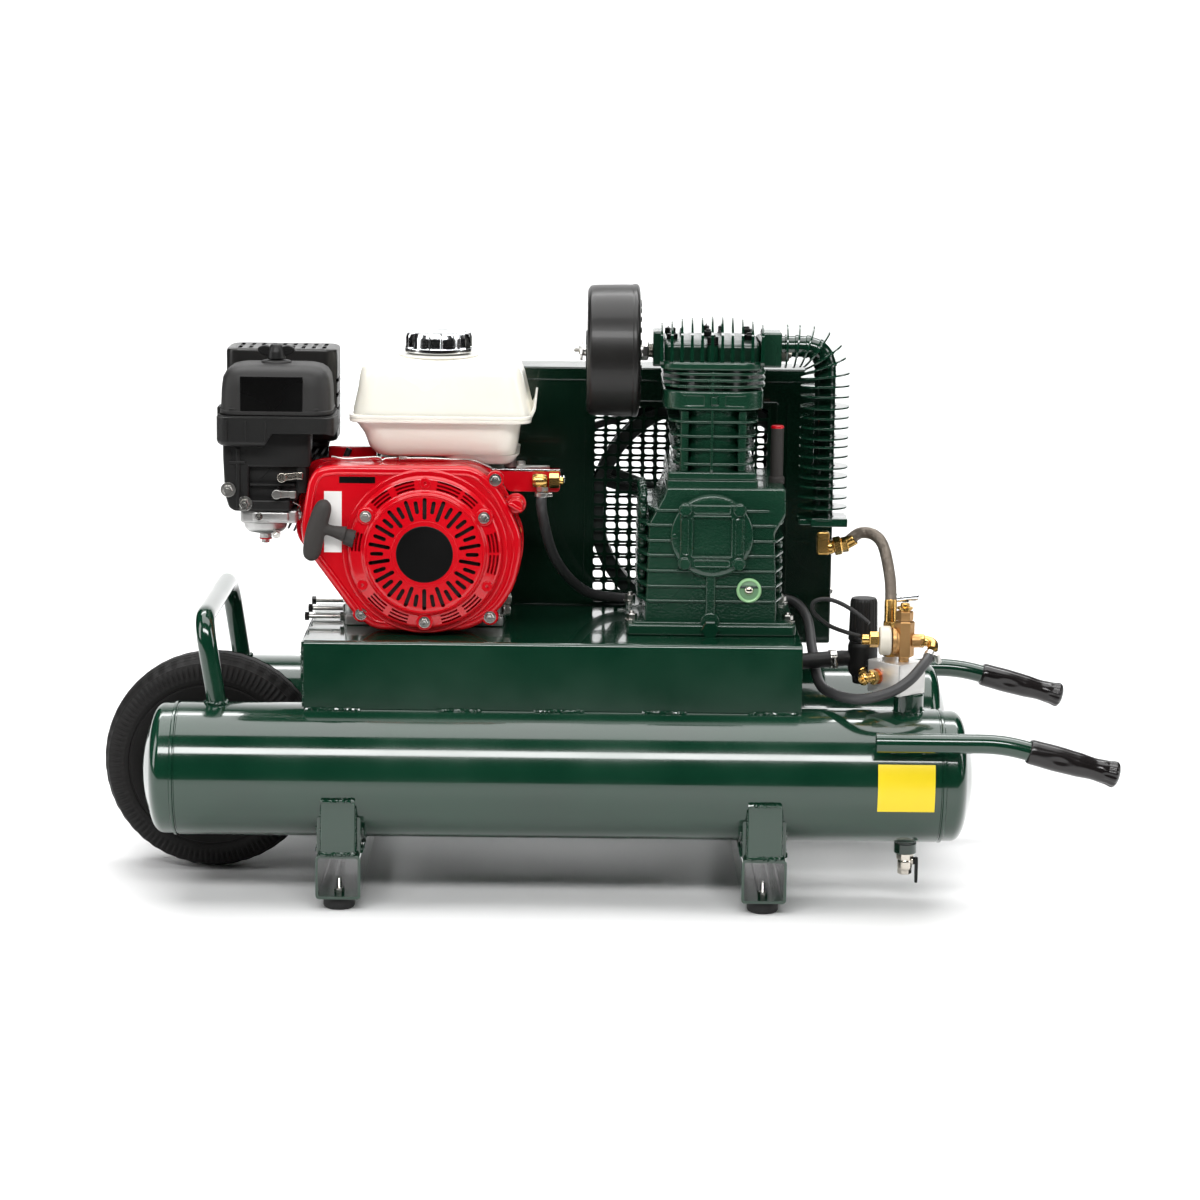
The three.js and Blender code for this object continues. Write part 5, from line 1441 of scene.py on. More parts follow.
def governor():
    b = Span("governor_arm")
    x, y, _ = joint_point("governor_swing")
    top = 491.0
    post = revolve([(0, 0), (4.5, 0), (4.5, 13), (0, 13)], (x, y, b.z0 + 0.2), (0, 0, 1), 24, 0.6)
    arm = slab(
        fillet([(x - 4.4, b.y0 + 1), (x + 4.4, b.y0 + 1), (x + 4.4, y + 5), (x - 4.4, y + 5)], 2.4, 3, True), "xy",
        top - 1, top + 1.4, 0.4
    )
    over = -92.0
    riser = flowing(
        [(x, b.y0 + 2, top), (x, -62.4, top + 7.4), (x, -70, top + 7.7), (x, -80, top + 8.6), (x, over, top + 9.4)], 5
    )
    wire = flowing([(x, over, top + 9.4), (x - 11.8, over, top + 8.6), (x - 16.4, over - 0.5, top + 6.6),
        (x - 21, over, top + 10),
                    (x - 40, over, top + 9), (x - 58, over, top + 7.6), (x - 74, over + 4, top + 9.6)], 7)
    piece(
        "governor_arm_and_rod", [post, arm, tube(riser, 0.8, 8), tube(wire, 1.2, 10)], "steel", "governor",
        ["governor_arm"]
    )
    link = flowing([(x + 12, over, top + 9.2), (x + 34, over, top + 9.4), (x + 66, over + 2, top + 8),
        (x + 86, over + 10, top + 6.4),
                    (x + 99, over + 20, top + 0.6), (x + 108, over + 27, top - 4.4)], 6)
    coil = [
        Vector(
            (x + 3 + 9 * t / 60, over + 2.2 * math.cos(t * 0.9), top + 9.3 + 2.2 * math.sin(t * 0.9))
        ) for t in range(60)
    ]
    piece("governor_link_wire", [tube(link, 1.2, 10), tube(coil, 0.4, 6)], "steel")


def stop_switch():
    b = Span("stop_switch_knob")
    r = (b.x1 - b.x0) / 2
    cap = lathe(
        fillet([(0, 0), (r, 0), (r, 14), (r - 1.5, 20), (0, 21)], 1.2, 3), (b.x, b.y1, b.z), (0, -1, 0), 48,
        lambda a, q, h: q * (1 - 0.035 * max(0.0, math.cos(12 * a))) if h > 3 and q > 6 else q,
    )
    wing = turn(
        block(b.x - r + 0.6, b.x + r - 0.6, b.y0, b.y0 + 9, b.z - 2.4, b.z + 2.4, 1.6), 0.5, "Y", (b.x, b.y, b.z)
    )
    piece("stop_switch_cap", [cap, wing], "red", "stop_switch", ["stop_switch_knob"])
    wire = flowing([(b.x - 1, -78, b.z - 8), (b.x - 3.5, -86, b.z - 17), (b.x + 1, -87, b.z - 26),
        (b.x + 5.5, -84, b.z - 33),
                    (b.x + 2, -74, b.z - 44), (b.x - 8, -62, b.z - 56)], 6)
    piece("stop_switch_wire", [tube(wire, 1.5, 10)], "wire")


def rotor():
    b = Span("drive_pulley")
    r = (b.x1 - b.x0) / 2
    web = fillet(
        [
            (10, 0), (20, 0), (22, 8), (38, 9), (40, 1), (r, 1), (r, 6), (r - 8.5, 8.6), (r - 8.5, 19.4), (r, 22),
            (r, 27), (40, 27), (38, 19), (22, 20), (20, 28), (10, 28)
        ],
        0.7, 2, True
    )
    pulley = lathe(web + [web[0]], (CRANK_X, b.y0, CRANK_Z), (0, 1, 0), 72)
    piece("engine_pulley", [pulley], "iron", "engine_rotor", ["drive_pulley"])
    nut = bolt((CRANK_X, 139, CRANK_Z), (0, 1, 0), 14, 8, washer=11)
    piece("engine_shaft_bolt", [nut], "steel", "engine_rotor")


def engine():
    engine_block()
    blower_housing()
    recoil_cover()
    recoil_handle()
    fan()
    fuel_tank()
    fuel_cap()
    air_cleaner()
    carburettor()
    small_levers()
    muffler()
    throttle_bracket()
    governor()
    stop_switch()
    rotor()


# ------------------------------------------------------------------ pump
CRANKCASE_RIBS = (340, 357, 375, 393, 410, 428, 445)
COVER = Span("pump_bearing_cover")
HEAD = Span("pump_head")
CYLINDERS = Span("pump_cylinder_block")
AFTERCOOLER = Span("aftercooler")
FILTER = Span("intake_filter")


def crankcase():
    b = Span("pump_crankcase")
    front, back = b.y0 + 7, b.y1 - 2
    floor = b.z0 + 13
    side = [
        (-76, floor - 1), (-73.5, 372), (-72.5, 428), (-54, 463), (-53, 471), (52, 471), (83.5, 471), (84.5, 440),
        (72, 419), (76, floor - 1)
    ]
    casting = [(PUMP_X + u, v) for u, v in side]
    body = slab(fillet(casting, 3.5, 3, True), "xz", front, back, 3, 3)
    parts = [
        block(b.x0, b.x1 + 1, b.y0, b.y1, b.z0 - 0.3, floor, 3.2, 2.6),
        block(b.x0 + 6, b.x1 - 5, b.y0 + 3, b.y1 - 3, floor - 1, floor + 2.4, 3, 1.2),
        body,
        block(PUMP_X - 53, PUMP_X + 52, front + 2, back - 2, 468, 480, 3, 2),
    ]
    for h in CRANKCASE_RIBS:
        reach = 74 if h < 430 else 74 - (h - 430) * 0.52
        rib = [(PUMP_X - reach - 0.5, front - 2.6), (PUMP_X + reach, front - 2.6), (PUMP_X + 84.5, front + 34),
            (PUMP_X + 84.5, back - 14),
               (PUMP_X + 70, back + 1.6), (PUMP_X - 70, back + 1.6), (PUMP_X - 85, back - 14),
                   (PUMP_X - 85, front + 34)]
        if h > 430:
            rib = [
                (PUMP_X - reach, front - 2.6), (PUMP_X + reach, front - 2.6), (PUMP_X + reach + 2, back - 8),
                (PUMP_X - reach - 8, back - 8), (PUMP_X - reach - 8, front + 30)
            ]
        parts.append(slab(fillet(rib, 6, 4, True), "xy", h - 1.7, h + 1.7, 1.3, 3))
    for h in CRANKCASE_RIBS:
        for y in (-58, -30, -2, 26, 54):
            wobble = RNG.uniform(-2, 2)
            knob = [(0, 0), (7.5, 0), (8.5, 4), (6, 9), (0, 10)]
            parts.append(revolve(knob, (PUMP_X - 74, y + wobble, h + 8.6), (-1, 0, 0.1), 16, 2.2))
            if h < 400:
                parts.append(revolve(knob, (PUMP_X + 74, y + wobble, h + 8.6), (1, 0, 0.1), 16, 2.2))
    drain_x, drain_z = PUMP_X - 0.5, b.z0 + 8
    parts.append(block(drain_x - 6, drain_x + 6, front - 5, front + 4, floor + 8, 372, 3.4, 1.6))
    parts.append(revolve([(0, 0), (12.5, 0), (11, 12), (0, 12)], (drain_x, front + 5, floor + 3), (0, -1, 0), 32, 2))
    parts.append(revolve([(0, 0), (10, 0), (9.6, 7), (0, 7)], (drain_x, b.y0 + 6, drain_z), (0, -1, 0), 32, 1.2))
    piece("pump_crankcase_casting", parts, "cast", replaces=["pump_crankcase"], sharp=46)
    piece("oil_drain_plug", [hexagon((drain_x, b.y0 - 0.6, drain_z), (0, -1, 0), 18.5, 5.4)], "green")

    steel = []
    for x in (b.x0 + 6, b.x1 - 7):
        for y in (b.y0 + 28, b.y1 - 26):
            steel.append(bolt((x, y, floor + 0.2), (0, 0, 1), 11, 6.4, washer=8.4, stud=3))
    piece("pump_base_bolts", steel, "steel")

    sight_x, sight_z = PUMP_X + 43.6, 353
    rim = fillet([(10.6, -1), (14.4, -1), (14.4, 3), (13, 5), (11.4, 4.6), (10.6, 2)], 0.8, 3, True)
    piece("sight_glass_ring", [lathe(rim + [rim[0]], (sight_x, front + 0.6, sight_z), (0, -1, 0), 56)], "ring")
    dish = revolve(
        [(0, -1), (11, -1), (11, 2.6), (7, 1.6), (0, 1.4)], (sight_x, front + 0.6, sight_z), (0, -1, 0), 48, 0.8
    )
    piece("sight_glass_dish", [dish], "glass")
    eye = revolve(
        [(0, -1), (6.2, -1), (6.0, 1.6), (4.6, 4.2), (2.4, 5.4), (0, 5.8)], (sight_x, front + 0.8, sight_z),
        (0, -1, 0), 40, 1.4
    )
    piece("sight_glass_lens", [eye], "nickel")

    boss_x, boss_y = PUMP_X + 76, -42
    tube_parts = [
        revolve([(0, 0), (9.4, 0), (9.4, 7), (8.4, 9), (0, 9)], (boss_x, boss_y, 469), (0, 0, 1), 32, 1.0),
        revolve([(5.6, 0), (7.6, 0), (7.6, 57), (5.6, 57), (5.6, 0)], (boss_x, boss_y, 477), (0, 0, 1), 32, 0.5),
    ]
    piece("breather_tube", tube_parts, "pull")
    cap = revolve(
        [(0, -3), (6.6, -3), (7.7, 0), (7.7, 1.6), (6, 3), (0, 3.2)], (boss_x, boss_y, 534.4), (0, 0, 1), 32, 0.7
    )
    piece("breather_cap", [cap], "red")


def bearing_cover():
    front = COVER.y0
    face = Span("pump_crankcase").y0 + 5
    plate = lathe(
        fillet(
            [(0, front + 4), (42, front + 4), (46.5, front + 5), (48, front + 8), (48, face + 2), (0, face + 2)], 1.2,
            3
        ),
        (PUMP_X, 0, PUMP_Z + 2), (0, 1, 0), 96
    )
    cx, cz = PUMP_X, PUMP_Z + 2
    frame_outline = fillet([(-37, -37), (37, -37), (37, 37), (-37, 37)], 7, 4, True)
    raised = slab([(cx + u, cz + v) for u, v in frame_outline], "xz", front + 1.6, front + 8, 1.6, 3)
    raised = carve(
        raised,
        [
            slab(
                [
                    (cx + u, cz + v)
                    for u, v in fillet([(-22.5, -22.5), (22.5, -22.5), (22.5, 22.5), (-22.5, 22.5)], 3, 3, True)
                ],
                "xz", front - 3, front + 4.8, 0
            )
        ]
    )
    parts = [plate, raised]
    rim = fillet([(-23.4, -23.4), (23.4, -23.4), (23.4, 23.4), (-23.4, 23.4)], 3.4, 4, True)
    parts.append(tube([(cx + u, front + 1.5, cz + v) for u, v in rim], 1.5, 8, closed=True))
    for angle in range(4):
        a = angle * math.pi / 2
        c, s = math.cos(a), math.sin(a)
        pill = [(u, v + 31) for u, v in fillet([(-21, -4), (21, -4), (21, 4), (-21, 4)], 3.4, 4, True)]
        parts.append(
            tube([(cx + u * c - v * s, front + 1.8, cz + u * s + v * c) for u, v in pill], 1.3, 8, closed=True)
        )
        bx, bz = cx + 31 * (c - s), cz + 31 * (s + c)
        parts.append(revolve([(0, 0), (8.4, 0), (7.6, 6), (0, 6)], (bx, front + 6.4, bz), (0, -1, 0), 28, 1.4))
        parts.append(hexagon((bx, front + 0.8, bz), (0, -1, 0), 12, 5))
    parts.append(revolve([(0, 0), (3.4, 0), (3, 3), (0, 3)], (cx - 43, front + 5.6, cz), (0, -1, 0), 18, 0.8))
    piece("crankshaft_cover", parts, "cast", replaces=["pump_bearing_cover"])


def cylinders():
    b = CYLINDERS
    y0, y1 = b.y0 + 4, b.y1 - 4
    parts = [block(PUMP_X - 52, PUMP_X + 50, y0, y1, 479.5, 489, 3, 2)]
    for y in (-58, 28):
        barrel = [(39, 486), (38, 520), (38, 562), (41, 600), (41, 606)]
        parts.append(lathe([(0, 486), *barrel, (0, 606)], (PUMP_X, y, 0), (0, 0, 1), 56))
    parts.append(block(PUMP_X - 30, PUMP_X + 30, -50, 30, 486, 606, 4))
    for x in (-33, 33):
        parts.append(block(PUMP_X + x - 5, PUMP_X + x + 5, y0 + 4, y1 - 4, 488, 560, 3))

    def fin(half, low, high, z, thick=2.8, corner=36):
        outline = rectangle(PUMP_X - half, PUMP_X + half + 1.6, low, high, corner, 10)
        return slab(outline, "xy", z - thick / 2, z + thick / 2, 1.1, 3)

    for z, half in ((498, 46), (514.6, 47.5), (530, 49), (546.4, 51)):
        parts.append(fin(half, y0, y1, z, 3.0, 30))
    for z in (587, 594.2, 601.4):
        parts.append(fin(58, y0 - 3, y1 + 3, z, 3.4, 40))
    band = slab(rectangle(PUMP_X - 57.5, PUMP_X + 57.5, y0 - 3, y1 + 3, 34, 8), "xy", 560, 582, 2.6, 3)
    recesses = []
    for x0, x1 in ((-40, -11), (-5.5, 5.5), (12, 40)):
        recesses.append(block(PUMP_X + x0, PUMP_X + x1, y0 - 12, y0 - 1.4, 564.5, 577.5, 1.6))
    parts.append(carve(band, recesses))
    parts.append(block(PUMP_X - 3.6, PUMP_X + 3.6, y0 - 3.2, y0 + 1.5, 566.5, 575.5, 1))
    rib = [(y0 + 0.4, 486), (y0 - 1.6, 492), (y0 - 1.6, 604), (y0 + 12, 606), (y0 + 12, 486)]
    parts.append(slab(fillet(rib, 1.2, 2, True), "yz", PUMP_X - 3.4, PUMP_X - 0.4, 0.9))
    for y in range(-80, 60, 17):
        for z in (506, 522, 538):
            for sx in (-1, 1):
                parts.append(
                    revolve(
                        [(0, 0), (5.6, 0), (4.4, 5), (0, 6)], (PUMP_X + sx * 36, y + RNG.uniform(-2, 2), z),
                        (sx, 0, 0.12), 12, 1.4
                    )
                )
    piece("pump_cylinders", parts, "cast", replaces=["pump_cylinder_block"], sharp=46)


def head():
    b = HEAD
    y0, y1 = b.y0, b.y1
    base = slab(rectangle(PUMP_X - 61.5, PUMP_X + 55.5, y0 + 0.5, y1, 26, 8), "xy", 605.5, 615, 2.6, 3)
    crown = [(-86, 608), (-85, 634), (-60, 637), (30, 637), (52, 634), (54, 608)]
    parts = [base, slab(fillet(crown, 5, 4, True), "yz", PUMP_X - 57, PUMP_X + 52, 5, 3)]
    blades = []
    for i in range(11):
        x = PUMP_X - 60.5 + i * 11.45
        tall = 665 - 7.5 * abs(i - 5) ** 2.2 / 34.5 + RNG.uniform(-0.8, 0.8)
        tall = min(tall, b.z1 + 8)
        section = [(x - 2.2, 612), (x + 2.2, 612), (x + 1.7, 636), (x + 1.0, tall), (x - 1.0, tall), (x - 1.7, 636)]
        blade = slab(section, "xz", y0 + 2.5, y1 - 3, 0)
        trim = slab(
            fillet(
                [(y0 + 2.5, 610), (y0 + 1.8, 646), (y0 + 13, tall), (y1 - 12, tall), (y1 - 2, 646), (y1 - 3, 610)], 7,
                4, True
            ),
            "yz", x - 5, x + 5, 0,
        )
        blades.append(carve(blade, [trim], "INTERSECT"))
    spots = ((-2.5, -88), (-48, -54), (40.5, -54), (-4.5, -14), (-48, 24), (40.5, 24), (-2.5, 58))
    for u, y in spots:
        parts.append(
            revolve([(0, 0), (7.4, 0), (6.6, 21), (5.6, 23), (0, 23)], (PUMP_X + u, y, 611), (0, 0, 1), 28, 1.4)
        )
    outlet = [(-36, 603), (12, 603), (12, 643.5), (-36, 643.5)]
    parts.append(slab(fillet(outlet, 3, 3, True), "yz", PUMP_X + 57, PUMP_X + 79.6, 1.6))
    parts.append(slab(fillet(outlet, 3, 3, True), "yz", PUMP_X - 69, PUMP_X - 58.5, 1.6))
    parts.append(block(PUMP_X + 54, PUMP_X + 60, -30, 6, 612, 640, 2))
    piece("cylinder_head", parts, "cast", replaces=["pump_head"], sharp=42)
    # The head's fins take the darker copy of the green paint: painted shade between them
    piece("cylinder_head_fins", blades, "fins", sharp=42)
    bolts = [bolt((PUMP_X + u, y, 634), (0, 0, 1), 11, 7.4, washer=7.2, stud=2.2) for u, y in spots]
    piece("cylinder_head_bolts", bolts, "satin")


def intake():
    b = FILTER
    y, z = b.y, b.z
    r = (b.y1 - b.y0) / 2
    shell = fillet(
        [
            (0, 0), (r - 7, 0), (r - 1.6, 3.4), (r - 0.8, 9), (r, 40), (r, 52), (r + 0.8, 53.4), (r + 0.8, 57),
            (r - 1.4, 59.6), (r - 8, 61), (14, 61), (0, 61)
        ],
        2.2, 4
    )
    parts = [
        lathe(shell, (b.x0, y, z), (1, 0, 0), 120),
        lathe(fillet([(0, 0), (24, 0), (22, -2), (0, -2)], 0.8, 3), (b.x0 + 0.4, y, z), (1, 0, 0), 48)
    ]
    for k in range(24):
        a = 2 * math.pi * k / 24
        at = (b.x0 + 61.2, y + 56 * math.cos(a), z + 56 * math.sin(a))
        parts.append(revolve([(0, 0), (3.4, 0), (2.8, 1.2), (0, 1.4)], at, (1, 0, 0), 14, 0.4))
    piece("intake_filter_drum", parts, "satin", replaces=["intake_filter"], sharp=40)
    steel = [
        lathe(ring_section(9, 11.5, 4, 0.6), (b.x0 + 61, y, z), (1, 0, 0), 32),
        hexagon((b.x0 + 63, y, z), (1, 0, 0), 20, 8),
        thread((b.x0 + 70, y, z), (1, 0, 0), 8.6, 7),
    ]
    piece("intake_union", steel, "steel")

    hub = revolve([(0, 0), (7.4, 0), (6.4, 6), (4.6, 9), (0, 9)], (b.x0 - 0.6, y, z), (-1, 0, 0), 28, 0.9)
    stud = thread((b.x0 - 9, y, z), (-1, 0, 0), 2.6, 6)
    wings = []
    for s in (-1, 1):
        wing = [
            (y + s * 3, z - 4), (y + s * 13, z - 6.4), (y + s * 16, z - 2), (y + s * 15, z + 5), (y + s * 3, z + 4)
        ]
        wings.append(turn(slab(fillet(wing, 2, 3, True), "yz", b.x0 - 8, b.x0 - 5.2, 0.8), 0.5, "X", (0, y, z)))
    piece("intake_wing_nut_steel", [hub, stud, *wings], "steel", "filter_nut", ["intake_wing_nut"])


def belt_path(small, large, steps=(40, 20)):
    """Closed outline of a belt round both shafts."""
    dx, dz = PUMP_X - CRANK_X, PUMP_Z - CRANK_Z
    heading = math.atan2(dz, dx)
    spread = math.acos((small - large) / math.hypot(dx, dz))
    return arc(PUMP_X, PUMP_Z, large, heading - spread, heading + spread, steps[0]) + arc(
        CRANK_X, CRANK_Z, small, heading + spread, heading + 2 * math.pi - spread, steps[1]
    )


def flywheel():
    b = Span("pump_flywheel")
    r = (b.x1 - b.x0) / 2
    y0 = b.y0 + 3
    rim = fillet(
        [
            (r - 17, 0), (r - 1, 0), (r, 1), (r, 9), (r - 8.5, 12), (r - 8.5, 21), (r, 24), (r, 31), (r - 1, 32),
            (r - 17, 32)
        ],
        0.9, 2, True
    )
    hub = fillet([(16.6, -3), (32, -3), (35, 0), (35, 34), (32, 36), (16.6, 36)], 1.4, 3, True)
    parts = [
        lathe(rim + [rim[0]], (PUMP_X, y0, PUMP_Z), (0, 1, 0), 120),
        lathe(hub + [hub[0]], (PUMP_X, y0, PUMP_Z), (0, 1, 0), 56)
    ]
    for i in range(5):
        a = 2 * math.pi * i / 5 + 0.3
        c, s = math.cos(a), math.sin(a)
        spoke = fillet([(28, -17), (70, -11), (r - 14, -13), (r - 14, 13), (70, 11), (28, 17)], 5, 4, True)
        web = fillet([(26, -3.4), (r - 13, -3.4), (r - 13, 3.4), (26, 3.4)], 1, 2, True)
        parts.append(
            slab([(PUMP_X + u * c - v * s, PUMP_Z + u * s + v * c) for u, v in spoke], "xz", 114, 122, 2.4, 3)
        )
        parts.append(slab([(PUMP_X + u * c - v * s, PUMP_Z + u * s + v * c) for u, v in web], "xz", 108, 130, 2, 3))
    piece("pump_flywheel_casting", parts, "iron", "pump_rotor", ["pump_flywheel"])
    nose = [bolt((PUMP_X, 139.5, PUMP_Z), (0, 1, 0), 19, 9, washer=15)]
    piece("pump_shaft_bolt", nose, "steel", "pump_rotor")
    small, large = 44.5, r - 5.5
    y = Span("drive_belt").y
    outer = [
        [(u, y + w, v) for u, v in belt_path(small + g, large + g)]
        for g, w in ((0, -4), (7.6, -6), (8, -5.4), (8, 5.4), (7.6, 6), (0, 4))
    ]
    piece("vee_belt", [loft(outer, loop=True)], "rubber", replaces=["drive_belt"])


def guard():
    b = GUARD
    sheet = 1.8
    shell = slab(
        fillet([(b.x0, b.z0), (b.x1, b.z0), (b.x1, b.z1), (b.x0, b.z1)], 3.4, 4, True), "xz", b.y0, b.y1, 2.4, 3
    )
    inner = slab(fillet([(b.x0 + sheet, b.z0 + sheet), (b.x1 - sheet, b.z0 + sheet), (b.x1 - sheet, b.z1 - sheet),
        (b.x0 + sheet, b.z1 - sheet)], 2, 3, True),
                 "xz", b.y0 + sheet, b.y1 - sheet, 1, 2)
    x0, x1 = PUMP_X - 143, PUMP_X + 81  # the perforated window
    z0, z1 = b.z0 + 44, b.z1 - 43
    window = block(x0, x1, b.y0 - 8, b.y1 + 8, z0, z1, 2, 0)
    shafts = [
        lathe([(0, -6), (r, -6), (r, 6), (0, 6)], (x, b.y0, z), (0, 1, 0), 40)
        for x, z, r in ((CRANK_X, CRANK_Z, 20), (PUMP_X, PUMP_Z, 26))
    ]
    shell = carve(carve(shell, [inner]), [window, *shafts])
    pitch, hole = 15.0, 12.1
    columns, rows = int((x1 - x0) / pitch), int((z1 - z0) / pitch)
    left, low = (x0 + x1 - (columns - 1) * pitch) / 2, (z0 + z1 - (rows - 1) * pitch) / 2
    meshes = []
    for y in (b.y0 + 0.3, b.y1 - 1.5):
        cutters = []
        for i in range(columns):
            for k in range(rows):
                u, v = left + i * pitch, low + k * pitch
                shape = rectangle(u - hole / 2, u + hole / 2, v - hole / 2, v + hole / 2, 3.4, 3)
                cutters.append(slab(shape, "xz", y - 2, y + 3, 0))
        meshes.append(carve(block(x0 - 2, x1 + 2, y, y + 1.2, z0 - 2, z1 + 2, 0.1, 0), cutters))
    rolled = [
        (u, b.y0 - 0.4, v)
        for u, v in fillet([(x0 - 3, z0 - 3), (x1 + 3, z0 - 3), (x1 + 3, z1 + 3), (x0 - 3, z1 + 3)], 3, 3, True)
    ]
    parts = [shell, *meshes, tube(rolled, 0.9, 8, closed=True)]
    fold = [
        block(b.x0 + 2, b.x1 - 2, b.y0 - 0.8, b.y0 + 0.6, b.z1 - 16, b.z1 - 14.6, 0.4),
        block(PUMP_X + 96, PUMP_X + 98, b.y0 - 1.0, b.y0 + 0.6, b.z0 + 6, z1, 0.5),
    ]
    # The guard sheet takes the darker copy of the green paint: painted shade on its front face
    piece("belt_guard_sheet", parts + fold, "panel", replaces=["belt_guard"], sharp=30)
    screws = []
    for x in (b.x0 + 14, b.x0 + 150, PUMP_X - 150, b.x1 - 9):
        for z in (b.z0 + 14, b.z1 - 9):
            screws.append(bolt((x, b.y1 + 0.2, z), (0, 1, 0), 7, 3.4, washer=6))
    for z in (b.z0 + 60, 380, 470):
        screws.append(bolt((b.x1 + 0.1, b.y0 + 30, z), (1, 0, 0), 7, 3, washer=6))
    piece("belt_guard_screws", screws, "steel")


def aftercooler():
    b = AFTERCOOLER
    x, y, top = b.x0 + 52, (b.y0 + b.y1) / 2, 626
    foot = b.z0 + 11
    bend = fillet([(PUMP_X + 78, y, top), (x, y, top), (x, y, foot)], 32, 12)
    path = resample(bend, 2.0)
    bar = tube(path, 12.3, 32)
    fins = []
    total = len(path)
    step = 11.75 / 2.0
    k = total - 4.0
    while k > 2:
        i = int(k)
        ahead = (path[min(i + 1, total - 1)] - path[i - 1]).normalized()
        lean = (path[min(i + 15, total - 1)] - path[max(i - 15, 0)]).normalized()
        tilt = Vector((RNG.uniform(-0.02, 0.02), RNG.uniform(-0.03, 0.03), RNG.uniform(-0.02, 0.02)))
        radius = 28.8 if path[i].z < 600 else 25.5
        disc = fillet([(11.8, -1.1), (radius, -1.1), (radius, 1.1), (11.8, 1.1)], 0.5, 2, True)
        fins.append(lathe(disc + [disc[0]], path[i], lean + tilt, 48))
        collar = [(12, -2.4), (13.6, -1.6), (13.6, 1.6), (12, 2.4), (12, -2.4)]
        fins.append(lathe(collar, path[i], ahead, 28))
        k -= step
    bottom = [
        block(x - 15, x + 28, y - 27, y + 27, foot - 3, foot + 7, 2, 1.4),
        block(x - 29, x - 10, y - 20, y + 20, foot - 2, foot + 5, 2, 1.2)
    ]
    piece("aftercooler_tube", [bar, *fins, *bottom], "green", replaces=["aftercooler"], sharp=34)
    nut = [
        hexagon((PUMP_X + 79.6, y, top - 6), (1, 0, 0), 21, 10),
        lathe([(0, 0), (11, 0), (11, 4), (0, 4)], (PUMP_X + 88, y, top - 3), (1, 0, 0), 32)
    ]
    piece("aftercooler_union", nut, "nickel")


def pump():
    crankcase()
    bearing_cover()
    cylinders()
    head()
    intake()
    flywheel()
    guard()
    aftercooler()


# ------------------------------------------------------------------ air circuit
MANIFOLD = {"x": 338.0, "y": -140.0, "low": 244.0, "top": 281.0, "half": 25.0, "deep": 22.0, "turn": -0.85}
REGULATOR_X, REGULATOR_Y = 306.0, -58.0
PILOT_X, PILOT_Y, PILOT_Z = 345.0, -148.0, 305.0
DISCHARGE = [(284, -24, 396), (304, -30, 411), (324, -56, 405), (332, -88, 371), (332.5, -108, 340), (332, -115, 318)]
SUPPLY = [(140, -96, 212), (143, -94, 238), (172, -84, 259), (229, -68, 264), (283, -58, 267)]
UNLOADER = [
    (-69, -69, 462), (-69, -69, 436), (-54, -14, 374), (-20, 50, 326), (24, 84.5, 311), (
        110, 85.5, 308
    ), (200, 86, 310),
    (232, 85, 309), (248, 58, 294), (251, 0, 268), (254, -78, 243), (266, -140, 241), (292, -186, 244), (
        324, -198, 254
    ),
    (347, -196, 268), (364, -183, 284), (374, -166, 293),
]
PILOT_TUBE = [
    (297.7, -112, 303), (280, -112, 308), (262.6, -114, 315), (249, -116, 325), (242, -118, 334), (243, -119, 343),
    (252, -120, 347), (264, -120, 346), (277, -121, 341), (291, -126, 333), (306, -134, 322),
]


def braided(path, r, strands=14, pitch=19.0, wire=0.5):
    """Two crossing sets of helical wires on a hose."""
    pts = resample(path, 1.6)
    marks = []
    normal = None
    for i, p in enumerate(pts):
        t = (pts[min(i + 1, len(pts) - 1)] - pts[max(i - 1, 0)]).normalized()
        normal = normal or t.orthogonal().normalized()
        normal = (normal - t * normal.dot(t)).normalized()
        marks.append((p, normal, t.cross(normal)))
    wires = []
    for hand in (-1, 1):
        for k in range(strands):
            line = []
            for i, (p, side, up) in enumerate(marks):
                a = hand * 2 * math.pi * i * 1.6 / pitch + 2 * math.pi * k / strands
                swell = r + 0.25 * math.cos(a * strands / 2)
                line.append(p + (side * math.cos(a) + up * math.sin(a)) * swell)
            wires.append(tube(line, wire, 6))
    return [tube(pts, r - 0.15, 24), *wires]


def clamp(at, direction, r, width=6.0):
    """Steel band round a hose with its screw."""
    d = Vector(direction).normalized()
    side = d.cross(Vector((0, 0, 1)) if abs(d.z) < 0.8 else Vector((0, -1, 0))).normalized()
    band = fillet([(r - 1, 0), (r + 1, 0), (r + 1, width), (r - 1, width)], 0.4, 2, True)
    base = Vector(at) - d * width / 2
    ear = Vector(at) + side * (r + 2.6)
    up = d.cross(side)
    return merged([
        lathe(band + [band[0]], base, d, 36),
        lathe([(0, 0), (3.2, 0), (3.2, 10), (0, 10)], ear - up * 5, up, 16),
        hexagon(ear + up * 5, up, 6, 3.4),
    ])


